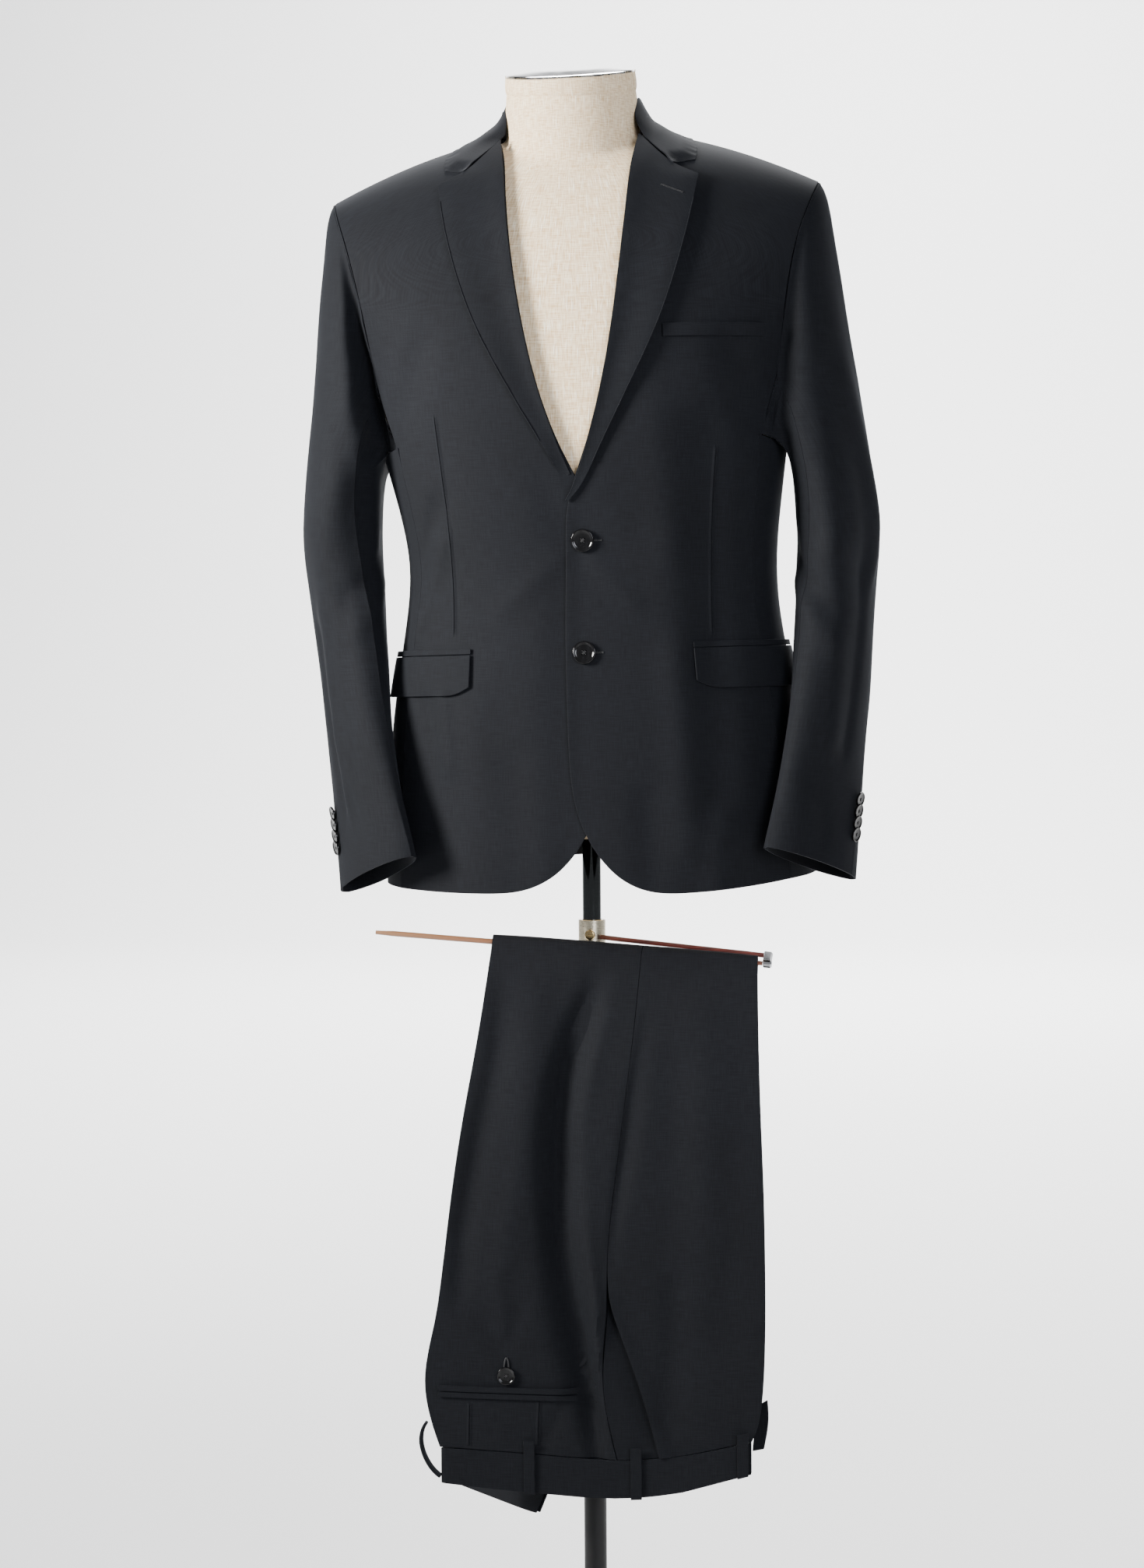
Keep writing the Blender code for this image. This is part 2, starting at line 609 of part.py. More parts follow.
def side_grid():
    """The side panel, from the front panel's seam round under the arm to the back panel's seam."""
    across = np.array([0, 0.22, 0.5, 0.78, 1.0])
    hem = HEM_FRONT_SEAM + (HEM_BACK_SEAM - HEM_FRONT_SEAM) * across
    heights = [outer for _, outer in PANEL_ROWS if outer < UNDERARM_HEIGHT]
    rows = []
    for height in [None, 0.885, 0.935] + heights + [UNDERARM_HEIGHT]:
        level = hem if height is None else height + 0 * across
        if height == UNDERARM_HEIGHT:
            level = level - UNDERARM_DIP * np.sin(np.pi * across)
        start = float(angle_of(FRONT_SEAM, level[0]))
        end = np.pi - float(angle_of(BACK_SEAM, level[-1]))
        rows.append(ring_points(start + (end - start) * across, level))
    grid = np.array(rows)
    grid[-1, 0], grid[-1, -1] = front_armhole()[0], back_armhole()[0]
    return grid


def front_armhole():
    return front_grid(1)[9:, -1]


def back_armhole():
    return back_grid()[8:, -1]


def make_panels():
    for side, name in ((1, "left"), (-1, "right")):
        grid = front_grid(side)
        normals = skin_normals(grid)
        if side < 0:
            tuck = UNDERLAP * (1 - ease(grid[..., 0], 0.020, 0.045))
            grid = grid - normals * tuck[..., None]
        cloth(f"jacket_front_{name}", *placed_panel(grid, normals, side), suiting(f"jacket_front_{name}"))
        for part, grid in (("back", back_grid()), ("side", side_grid())):
            normals = skin_normals(grid)
            panel = f"jacket_{part}_{name}"
            cloth(panel, *placed_panel(grid, normals, side), suiting(panel))


def placed_panel(grid, normals, side):
    """A panel and its normals, mirrored to its side of the body and leaned with the form."""
    grid, normals = mirrored(grid, side), mirrored(normals, side)
    return leaned(grid), unit(leaned(grid + 0.01 * normals) - leaned(grid))


# ---------------------------------------------------------------- lapels and collar
def make_lapels():
    """Each lapel lies on its front from the roll line to its own edge, and stands off it at the roll."""
    for side, name in ((1, "left"), (-1, "right")):
        across = np.array([0, 0.18, 0.42, 0.72, 1.0])
        rows = []
        for number, (roll_height, edge_height, edge_x) in enumerate(LAPEL_ROWS):
            if side < 0 and number < 2:
                roll_height, edge_height, edge_x = UNDER_LAPEL_ROWS[number]
            roll_x = float(lookup(ROLL_LINE, 1, roll_height))
            x = roll_x + (edge_x - roll_x) * across
            z = roll_height + (edge_height - roll_height) * across
            rows.append((x, z))
        x, z = np.array([row[0] for row in rows]), np.array([row[1] for row in rows])
        x[-1, 3], z[-1, 3] = NOTCH
        x[-1, 1:3] = x[-1, 0] + (NOTCH[0] - x[-1, 0]) * np.array([0.30, 0.66])
        z[-1, 1:3] = z[-1, 0] + (NOTCH[1] - z[-1, 0]) * np.array([0.30, 0.66])
        grid = np.stack([x, skin_y(x, z, -1), z], axis=-1)
        normals = skin_normals(grid)
        if side < 0:
            grid = grid - normals * (UNDERLAP * (1 - ease(x, 0.010, 0.030)))[..., None]
        width = np.clip((x[:, -1:] - x[:, :1]) / 0.03, 0, 1)
        roll = 0.0011 + 0.0035 * width * np.exp(-((across / 0.22) ** 2))
        grid = grid + normals * roll[..., None]
        grid, normals = placed_panel(grid, normals, side)
        lapel = f"jacket_lapel_{name}"
        cloth(lapel, grid, normals, suiting(lapel), lift=1e-6, thickness=0.0018)


def collar_lines(count):
    """The crease and the outer edge of the collar's fall, from its front corner to the centre back."""
    stations = np.linspace(0, 1, len(COLLAR_STATIONS))
    at = np.linspace(0, 1, count)
    crease = np.stack([curve_through(stations, column(COLLAR_STATIONS, i), at) for i in range(3)], axis=-1)
    sag = curve_through(stations, column(COLLAR_STATIONS, 3), at)
    edge = []
    for edge_x, edge_height, side in [row[4:] for row in COLLAR_STATIONS]:
        height = ridge(edge_x) if side == 0 else edge_height
        y = 0.0 if side == 0 else skin_y(edge_x, height, side)
        point = np.array([edge_x, y, height])
        edge.append(point + 0.0034 * skin_normals(point))
    edge = np.array(edge)
    edge = np.stack([curve_through(stations, edge[:, i], at) for i in range(3)], axis=-1)
    return crease, edge, sag


def whole_round(half):
    """A line or grid over the -X half joined to its mirror, from right front to left front."""
    other = half.copy()
    other[..., 0] *= -1
    return np.concatenate([other, half[::-1][1:]])


def make_collar():
    """The fall rolls from the crease down to the shoulders; the stand closes it to the neck seam."""
    crease, edge, sag = collar_lines(11)
    across = np.array([0, 0.22, 0.48, 0.74, 1.0])
    down = unit(edge - crease)
    out = np.cross(np.gradient(crease, axis=0), down)
    out = unit(out * np.sign((out * (crease + edge) * [1, 1, 0.1]).sum(axis=-1, keepdims=True)))
    bow = -4 * across * (1 - across)
    half = crease[:, None] + (edge - crease)[:, None] * across[None, :, None]
    half = half + (sag[:, None] * bow[None])[..., None] * out[:, None]
    for j, (x, z) in enumerate(COLLAR_FRONT):
        point = np.array([x, skin_y(x, z, -1), z])
        half[0, j] = point + (0.0036 if j else 0.0045) * skin_normals(point)
    fall = leaned(whole_round(half))
    normals = grid_normals(fall)
    cloth("jacket_collar", fall, normals, suiting("jacket_collar"), thickness=0.0018)

    start = 2
    low = []
    for x in crease[start:, 0] / crease[start, 0] * NECK_SIDE:
        height = NECK_BACK_HEIGHT + (ridge(NECK_SIDE) - NECK_BACK_HEIGHT) * (x / NECK_SIDE) ** 2 + 0.0012
        low.append([x, skin_y(x, height - 0.0012, 1) if x < NECK_SIDE - 1e-4 else 0.0, height])
    low = np.array(low)
    high = crease[start:] - [0, 0, 0.0026]
    high[:, :2] *= 0.985
    stand = np.stack([low, 0.5 * (low + high), high], axis=1)
    stand = leaned(whole_round(stand))
    wool = suiting("jacket_collar_stand")
    cloth("jacket_collar_stand", stand, grid_normals(stand), wool, thickness=0.0014)


def grid_normals(grid, closed=False):
    """Normals of a grid from its own rows and columns, pointing away from the body's middle on average."""
    if closed:
        along = np.roll(grid, -1, axis=1) - np.roll(grid, 1, axis=1)
    else:
        along = np.gradient(grid, axis=1)
    normals = unit(np.cross(np.gradient(grid, axis=0), along))
    middle = grid.reshape(-1, 3).mean(axis=0)
    return normals if ((grid - middle) * normals).sum() > 0 else -normals


# ---------------------------------------------------------------- sleeves
def armhole_loop():
    """The armhole, from the shoulder's tip down the front, under the arm and up the back to the tip."""
    return np.concatenate([front_armhole()[::-1], side_grid()[-1, 1:-1], back_armhole()])


def sleeve_section(row, angles):
    """An oval section: angle 0 is outside, 90 degrees in front. It is turned about Z and tilted forward."""
    height, centre_x, centre_y, half_long, half_short, turn, tilt = row
    turn, tilt = math.radians(turn), math.radians(tilt)
    forward, outward = half_long * np.sin(angles), half_short * np.cos(angles)
    x = centre_x + outward * math.cos(turn) - forward * math.cos(tilt) * math.sin(turn)
    y = centre_y - forward * math.cos(tilt) * math.cos(turn) - outward * math.sin(turn)
    return np.stack([x, y, height + forward * math.sin(tilt)], axis=-1)


def sleeve_grid():
    """Rings from the armhole to the cuff. Each column leaves outwards and bends down to the arm."""
    loop = armhole_loop()[:-1]
    lengths = np.linalg.norm(np.diff(armhole_loop(), axis=0), axis=1)
    reach = np.concatenate([[0], np.cumsum(lengths)])
    bottom = len(loop) // 2
    share = np.where(
        np.arange(len(loop)) <= bottom,
        reach[:-1] / reach[bottom],
        1 + (reach[:-1] - reach[bottom]) / (reach[-1] - reach[bottom]),
    )
    angles = np.pi * share
    first = sleeve_section(SLEEVE_SECTIONS[0], angles)
    start = loop + np.array([ARMHOLE_GAP, 0, ARMHOLE_GAP])
    bend = first.copy()
    bend[:, 0] -= SLEEVE_SPREAD * (start[:, 2] - first[:, 2])
    bend[:, 0] = np.maximum(bend[:, 0], start[:, 0] + 0.0015)
    bend[:, 2] = start[:, 2] - 0.0005
    high = ease(start[:, 2], 1.37, 1.47)[:, None] * np.array([1.0, 0, 0])
    rings = []
    for t, full in SLEEVE_HEAD:
        curve = (1 - t) ** 2 * start + 2 * t * (1 - t) * bend + t * t * first
        rings.append(curve + full * high)
    rings += [sleeve_section(row, angles) for row in SLEEVE_SECTIONS]
    return np.array(rings)


def sleeve_surface():
    """The sleeve's rings and normals, which at the armhole are the body's: both edges are parallel."""
    rings = sleeve_grid()
    normals = grid_normals(rings, closed=True)
    normals[0] = skin_normals(armhole_loop()[:-1])
    return rings, normals


FRONT_SLEEVE_SEAM, BACK_SLEEVE_SEAM = 8, 18  # columns of the sleeve's grid


def make_sleeves():
    """A top sleeve and an under sleeve for each arm, seamed in front and behind."""
    rings, normals = sleeve_surface()
    count = rings.shape[1]
    top = [j % count for j in range(BACK_SLEEVE_SEAM, count + FRONT_SLEEVE_SEAM + 1)]
    under = list(range(FRONT_SLEEVE_SEAM, BACK_SLEEVE_SEAM + 1))
    for side, name in ((1, "left"), (-1, "right")):
        for part, columns in (("top", top), ("under", under)):
            half = f"sleeve_{part}_{name}"
            grid, turned_normals = placed_panel(rings[:, columns], normals[:, columns], side)
            cloth(half, grid, turned_normals, suiting(half), gap=0.0005)


# ---------------------------------------------------------------- pockets and buttons
def along_section(z, start_x, length, count):
    """Angles on the section at height z, at equal steps from a point in front round to the side."""
    half_width = float(lookup(BODY_SECTIONS, 1, z))
    fine = np.linspace(float(angle_of(start_x / half_width, z)), 0.75 * np.pi, 400)
    points = ring_points(fine, z)
    reach = np.concatenate([[0], np.cumsum(np.linalg.norm(np.diff(points, axis=0), axis=1))])
    return np.interp(np.linspace(0, length, count), reach, fine)


def make_pockets():
    """Flaps and jets follow the body round to the side; the flap's lower front corner is rounded."""
    for side, name in ((1, "left"), (-1, "right")):
        angles = along_section(POCKET_HEIGHT, POCKET_START, FLAP_LENGTH, 12)
        share = np.linspace(0, 1, 12)
        drop = FLAP_DEPTH * (0.80 + 0.20 * np.sqrt(1 - np.clip(1 - share / 0.10, 0, 1) ** 2))
        heights = POCKET_HEIGHT - drop[None] * np.array([1.0, 0.5, 0.0])[:, None]
        grid = ring_points(angles[None], heights)
        grid, normals = placed_panel(grid, skin_normals(grid), side)
        flap, jet = f"pocket_flap_{name}", f"pocket_jet_{name}"
        cloth(flap, grid, normals, suiting(flap), lift=0.0009, thickness=0.0018)
        heights = POCKET_HEIGHT + 0.0005 + JET_DEPTH * np.array([0.0, 1.0])[:, None] + 0 * angles[None]
        grid = ring_points(angles[None], heights)
        grid, normals = placed_panel(grid, skin_normals(grid), side)
        cloth(jet, grid, normals, suiting(jet), lift=0.0009, thickness=0.0012)

    x = WELT_START + WELT_LENGTH * np.linspace(0, 1, 8)
    z = WELT_HEIGHT + WELT_DEPTH * np.array([0.0, 1.0])[:, None] + 0 * x[None]
    x = x[None] + 0 * z
    grid = np.stack([x, skin_y(x, z, -1), z], axis=-1)
    grid, normals = placed_panel(grid, skin_normals(grid), 1)
    cloth("breast_welt", grid, normals, suiting("breast_welt"), lift=0.0009, thickness=0.0016)


def make_button(name, centre, facing, radius, thickness, spin=0.0):
    """A turned button with a raised rim and four holes, its back seated on `centre`."""
    rim, rise = 0.78 * radius, 0.22 * thickness
    profile = [(0, 0), (0.82 * radius, 0), (radius, 0.4 * thickness), (0.96 * radius, 0.85 * thickness)]
    profile += [(0.88 * radius, thickness), (rim, thickness - rise), (0, thickness - 1.3 * rise)]
    place = Matrix.Translation(Vector(centre)) @ facing_turn(Vector(facing)) @ Matrix.Rotation(spin, 4, "Z")
    button = turned(name, profile, 18, material(name + "_horn", (0.006, 0.006, 0.007), 0.22), place)
    cutter_mesh = bpy.data.meshes.new(name + "_holes")
    shape = bmesh.new()
    for i in range(4):
        angle = math.radians(45 + 90 * i)
        reach = 0.21 * radius
        at = Matrix.Translation((reach * math.cos(angle), reach * math.sin(angle), thickness / 2))
        bmesh.ops.create_cone(
            shape, cap_ends=True, segments=6, radius1=0.085 * radius, radius2=0.085 * radius,
            depth=3 * thickness, matrix=place @ at,
        )
    shape.to_mesh(cutter_mesh)
    shape.free()
    cutter = bpy.data.objects.new(name + "_holes", cutter_mesh)
    cutter.hide_render, cutter.display_type = True, "WIRE"
    bpy.context.scene.collection.objects.link(cutter)
    cut = button.modifiers.new("holes", "BOOLEAN")
    cut.operation, cut.object = "DIFFERENCE", cutter
    return button


def make_buttons():
    """Two front buttons on the upper front, and four overlapping ones on each cuff's back seam."""
    for number, (x, height) in enumerate(BUTTON_PLACES, 1):
        point = np.array([[x, skin_y(x, height, -1), height]])
        centre, normal = placed_panel(point, skin_normals(point), 1)
        seat = centre[0] + 0.0008 * normal[0]
        make_button(f"front_button_{number}", seat, normal[0], BUTTON_RADIUS, BUTTON_THICKNESS)
    rings, normals = sleeve_surface()
    line = rings[-3:, BACK_SLEEVE_SEAM] * 0.55 + rings[-3:, BACK_SLEEVE_SEAM + 1] * 0.45
    line_normals = unit(normals[-3:, BACK_SLEEVE_SEAM] + normals[-3:, BACK_SLEEVE_SEAM + 1])
    lengths = np.linalg.norm(np.diff(line, axis=0), axis=1)
    reach = np.concatenate([[0], np.cumsum(lengths)])
    for side, name in ((1, "left"), (-1, "right")):
        points, outward = placed_panel(line, line_normals, side)
        for number in range(4):
            at = reach[-1] - 0.040 - CUFF_BUTTON_SPACING * (3 - number)
            centre = np.array([np.interp(at, reach, points[:, i]) for i in range(3)])
            normal = unit(np.array([np.interp(at, reach, outward[:, i]) for i in range(3)]))
            down = unit(points[-1] - points[-2])
            facing = unit(normal * math.cos(CUFF_BUTTON_TILT) + down * math.sin(CUFF_BUTTON_TILT))
            lift = CUFF_BUTTON_RADIUS * math.sin(CUFF_BUTTON_TILT) + 0.0004
            make_button(
                f"cuff_button_{name}_{number + 1}", centre + lift * normal, facing,
                CUFF_BUTTON_RADIUS, CUFF_BUTTON_THICKNESS,
            )


# ---------------------------------------------------------------- the dress form and its stand
def form_radius(angles, z):
    """Distance from the form's axis to its surface: torso and neck, blended and kept inside the jacket."""
    low, high = np.zeros_like(angles), np.full_like(angles, 0.30)
    half_width, front, back, inset = (lookup(FORM_SECTIONS, i, z) for i in (1, 2, 3, 4))
    for _ in range(40):
        middle = 0.5 * (low + high)
        x, y = middle * np.sin(angles), -middle * np.cos(angles)
        depth = np.where(y < 0, front, back)
        own = (np.abs(x) / half_width) ** 2.2 + (np.abs(y) / depth) ** 2.2 < 1
        point = np.stack([x, y, z + 0 * x], axis=-1)
        pushed = point + inset * unit(np.stack([x, y, 0 * x + 1e-9], axis=-1))
        raised = point + inset * np.array([0, 0, 1.0])
        under = section_height(x, z) + inset < RIDGE_HEIGHT
        inside = own & under & (outside(pushed) < 1) & (outside(raised) < 1)
        low, high = np.where(inside, middle, low), np.where(inside, high, middle)
    torso = 0.5 * (low + high) if z < FORM_SECTIONS[-1][0] else 0 * angles
    wide, deep, centre_y = (float(lookup(NECK_SECTIONS, i, z)) for i in (1, 2, 3))
    neck = 1 / np.sqrt((np.sin(angles) / wide) ** 2 + (np.cos(angles) / deep) ** 2)
    neck = neck - centre_y * np.cos(angles)
    if z < NECK_SECTIONS[0][0]:
        return torso
    return np.maximum(torso, neck)


def make_form():
    """The linen torso: rings up from its foot to the tilted top of the neck, and a cap on it."""
    angles = 2 * np.pi * np.arange(28) / 28
    heights = [0.866, 0.900, 0.950, 1.010, 1.070, 1.130, 1.190, 1.250, 1.310, 1.365, 1.410, 1.445, 1.470]
    heights += [1.488, 1.502, 1.513, 1.521, 1.528, 1.534, 1.540, 1.548, 1.560, 1.578, NECK_TOP]
    rings = []
    for z in heights:
        radius = form_radius(angles, z)
        x, y = radius * np.sin(angles), -radius * np.cos(angles)
        tilt = math.tan(NECK_CAP_TILT) * y * ease(z, 1.556, NECK_TOP)
        rings.append(np.stack([x, y, z + tilt], axis=-1))
    rings = leaned(np.array(rings))
    count, around = len(heights), len(angles)
    points = rings.reshape(-1, 3)
    faces = grid_triangles(count, around, closed=True)
    faces.append(tuple(range(around))[::-1])
    faces.append(tuple(range((count - 1) * around, count * around)))
    add_object("form_torso", points, faces, material("form_linen", (0.72, 0.66, 0.56), 0.9))

    top = rings[-1]
    centre = top.mean(axis=0)
    up = unit(np.cross(top[7] - centre, top[14] - centre))
    up = up if up[2] > 0 else -up
    cap = []
    for scale, height in ((1.006, 0.0004), (1.006, 0.0060), (0.985, 0.0080), (0.55, 0.0110)):
        cap.append(centre + (top - centre) * scale + up * height)
    cap = np.array(cap)
    points = cap.reshape(-1, 3)
    faces = grid_triangles(4, around, closed=True)
    faces.append(tuple(range(around))[::-1])
    faces.append(tuple(range(3 * around, 4 * around)))
    add_object("neck_cap", points, faces, material("neck_cap_chrome", (0.80, 0.80, 0.82), 0.12, 1.0))


def make_stand():
    """Base plate, hub, hollow pole, clamping collar with its screw, and the tube that carries the form."""
    black = material("stand_black", (0.012, 0.012, 0.013), 0.45, 0.0)
    plate = PLATE_THICKNESS
    turned(
        "base_plate",
        [(0, 0), (PLATE_RADIUS - 0.002, 0), (PLATE_RADIUS, 0.002), (PLATE_RADIUS, plate - 0.004),
         (PLATE_RADIUS - 0.004, plate - 0.001), (0.10, plate), (0, plate)],
        48, black,
    )
    foot = plate + SEAM_GAP
    hub_bore = POLE_RADIUS + SEAM_GAP
    turned(
        "base_hub",
        [(hub_bore, foot), (0.034, foot), (0.034, foot + 0.004), (0.022, foot + 0.010),
         (0.017, foot + 0.026), (0.015, foot + 0.028), (hub_bore, foot + 0.028)],
        24, material("hub_black", (0.012, 0.012, 0.013), 0.4),
    )
    turned(
        "pole",
        [(POLE_BORE, foot), (POLE_RADIUS, foot), (POLE_RADIUS, POLE_TOP), (POLE_BORE, POLE_TOP)],
        24, material("pole_black", (0.010, 0.010, 0.011), 0.5),
    )
    sleeve = POLE_RADIUS + SEAM_GAP
    lip = POLE_TOP + SEAM_GAP
    turned(
        "pole_collar",
        [(sleeve, COLLAR_FOOT), (COLLAR_RADIUS - 0.0006, COLLAR_FOOT), (COLLAR_RADIUS, COLLAR_FOOT + 0.0008),
         (COLLAR_RADIUS, COLLAR_TOP - 0.0012), (COLLAR_RADIUS - 0.0012, COLLAR_TOP), (POLE_BORE, COLLAR_TOP),
         (POLE_BORE, lip), (sleeve, lip)],
        24, material("collar_nickel", (0.60, 0.52, 0.42), 0.28, 1.0),
    )
    face = -(COLLAR_RADIUS + SEAM_GAP)
    place = Matrix.Translation((0, face, 0.7685)) @ Matrix.Rotation(math.radians(90), 4, "X")
    turned(
        "clamp_screw",
        [(0, 0), (0.0022, 0), (0.0022, 0.0030), (0.0048, 0.0034), (0.0050, 0.0040), (0.0050, 0.0080),
         (0.0044, 0.0088), (0, 0.0090)],
        16, material("screw_nickel", (0.60, 0.56, 0.50), 0.3, 1.0), place,
    )
    foot_point = leaned(np.array([[0.0, 0.0, FORM_FOOT]]))[0]
    tube_top = foot_point[2] - 0.0012
    turned(
        "form_tube",
        [(0, TUBE_FOOT), (TUBE_RADIUS - 0.001, TUBE_FOOT), (TUBE_RADIUS, TUBE_FOOT + 0.001),
         (TUBE_RADIUS, tube_top - 0.0002), (TUBE_RADIUS - 0.0002, tube_top), (0, tube_top)],
        24, material("tube_black_chrome", (0.03, 0.03, 0.032), 0.15, 1.0),
    )


def bar_height(x):
    return BAR_HEIGHT + BAR_SLOPE * x


def make_bar():
    """The wooden trouser bar, open at -X, the arm that carries it and the fitting that joins them."""
    wood = material("bar_wood", (0.16, 0.075, 0.045), 0.4)
    bar_ends = [(x, BAR_Y, bar_height(x)) for x in (BAR_LEFT, BAR_RIGHT)]
    rod("trouser_bar", *bar_ends, BAR_RADIUS, 12, wood)

    start = (0.0094, -0.0125, ARM_HEIGHT + ARM_SLOPE * 0.0104)
    corner = (0.0300, ARM_Y, ARM_HEIGHT + ARM_SLOPE * 0.0300)
    end = (BAR_RIGHT, ARM_Y, ARM_HEIGHT + ARM_SLOPE * BAR_RIGHT)
    curve = bpy.data.curves.new("bar_arm", "CURVE")
    curve.dimensions = "3D"
    curve.bevel_depth, curve.bevel_resolution, curve.use_fill_caps = ARM_RADIUS, 2, True
    spline = curve.splines.new("POLY")
    spline.points.add(2)
    for point, place in zip(spline.points, (start, corner, end)):
        point.co = (*place, 1)
    curve.materials.append(material("arm_wood", (0.10, 0.035, 0.028), 0.35))
    bpy.context.scene.collection.objects.link(bpy.data.objects.new("bar_arm", curve))

    left = BAR_RIGHT + SEAM_GAP
    right = left + FITTING_LENGTH
    rings = []
    for x, inset in ((left, 0.0008), (left + 0.0008, 0.0), (right - 0.0015, 0.0), (right, 0.0015)):
        near = (BAR_Y - 0.0042 + inset, bar_height(x))
        far = (ARM_Y + 0.0042 - inset, ARM_HEIGHT + ARM_SLOPE * x)
        ring = []
        for centre_y, centre_z, first in ((near[0] + 0.004, near[1], 90), (far[0] - 0.004, far[1], -90)):
            for k in range(7):
                angle = math.radians(first + 30 * k)
                reach = 0.0042 - inset
                ring.append((x, centre_y + reach * math.cos(angle), centre_z + reach * math.sin(angle)))
        rings.append(ring)
    rings = np.array(rings)
    faces = grid_triangles(4, 14, closed=True)
    faces.append(tuple(range(14))[::-1])
    faces.append(tuple(range(42, 56)))
    chrome = material("fitting_chrome", (0.80, 0.80, 0.82), 0.15, 1.0)
    add_object("bar_fitting", rings.reshape(-1, 3), faces, chrome)


# ---------------------------------------------------------------- the trousers over the bar
def fold_rows():
    """Rows of the trousers from the waist seam up, over the bar and down behind it.

    Each row has its middle on the outer face, the direction along it to +X, its half width, the direction
    in to the hidden layers, and the share of the way from waist to fold that sets the layers' thickness.
    """
    rows = []
    for height, left, right, y in WAIST_HALF:
        middle = (0.5 * (left + right), y, height)
        rows.append((middle, (1, 0, 0), 0.5 * (right - left), (0, 1, 0), float(ease(height, 0.62, 0.70))))
    left, right = -0.0930, 0.1650
    middle_x, half = 0.5 * (left + right), 0.5 * (right - left)
    reach = BAR_RADIUS + SEAM_GAP + FOLD_LAYERS + SEAM_GAP + WALL
    across = unit(np.array([1, 0, BAR_SLOPE]))
    axis = np.array([middle_x, BAR_Y, bar_height(middle_x)])
    for angle in (8, 50, 90, 130, 172):
        out = np.array([0, -math.cos(math.radians(angle)), math.sin(math.radians(angle))])
        rows.append((axis + reach * out, across, half, -out, 1.0))
    for height, x, y, width, turn in LEG_HALF:
        turn = math.radians(turn)
        along = (math.cos(turn), math.sin(turn), 0)
        inward = (math.sin(turn), -math.cos(turn), 0)
        rows.append(((x, y, height), along, 0.5 * width, inward, float(ease(height, 0.64, 0.72))))
    return rows


def seam_shares():
    """Share of each row's half width at which the side seam lies, and the slant pocket's edge below."""
    seam, slant = [], []
    for number, (middle, _, half, _, _) in enumerate(fold_rows()):
        if number < len(WAIST_HALF):
            x = float(lookup(SIDE_SEAM, 1, middle[2]))
            edge = float(lookup(POCKET_SLANT, 1, middle[2])) if middle[2] < POCKET_SLANT[-1][0] else x
            seam.append((x - middle[0]) / half)
            slant.append((edge - middle[0]) / half)
        else:
            seam.append(seam[-1] + 0.25 * (0.16 - seam[-1]))
            slant.append(seam[-1])
    return np.array(seam), np.array(slant)


def row_points(number, shares, depth, far=False):
    """Points across a row at shares from -1 to 1 of its half width, `depth` in from its outer face.

    The outer face falls in towards both edges, where the legs are folded, and the far face (far=True) rises.
    The first row follows the waist seam.
    """
    middle, along, half, inward, pressed = fold_rows()[number]
    middle, along, inward = (np.asarray(v, float) for v in (middle, along, inward))
    shares = np.asarray(shares, float)
    fall = (0.0022 - 0.0010 * pressed) * shares**6
    depth = np.asarray(depth, float) + (-fall if far else fall)
    points = middle + along * (half * shares)[:, None] + inward * depth[:, None]
    if number == 0:
        points[:, 2] = curve_through(*zip(*BAND_SEAM), points[:, 0]) + SEAM_GAP
    return points


def row_normals():
    return np.array([-np.asarray(row[3], float) for row in fold_rows()])


def make_near_leg():
    """The near leg's back and front panels, each one wall from the waist seam over the bar to the hem."""
    seam, slant = seam_shares()
    steps = np.linspace(0, 1, 6)
    outward = row_normals()[:, None] + np.zeros((1, 6, 1))
    back = np.array([row_points(i, -1 + (s + 1) * steps, 0 * steps) for i, s in enumerate(seam)])
    front = np.array([row_points(i, s + (1 - s) * steps, 0 * steps) for i, s in enumerate(slant)])
    cloth("trouser_back_panel", back, outward, suiting("trouser_back_panel"))
    cloth("trouser_front_panel", front, outward, suiting("trouser_front_panel"))
    rows = 5
    under = WALL + 0.0004
    facing = []
    for i in range(rows):
        shares = seam[i] + 0.003 + (slant[i] - seam[i] + 0.03) * np.array([0.0, 0.5, 1.0])
        depths = np.array([0.0, 0.75, 1.0]) if i < rows - 1 else np.ones(3)
        facing.append(row_points(i, shares, depths * under))
    facing = np.array(facing)
    cloth("pocket_facing", facing, outward[:rows, :3], suiting("pocket_facing"), thickness=0.0009)


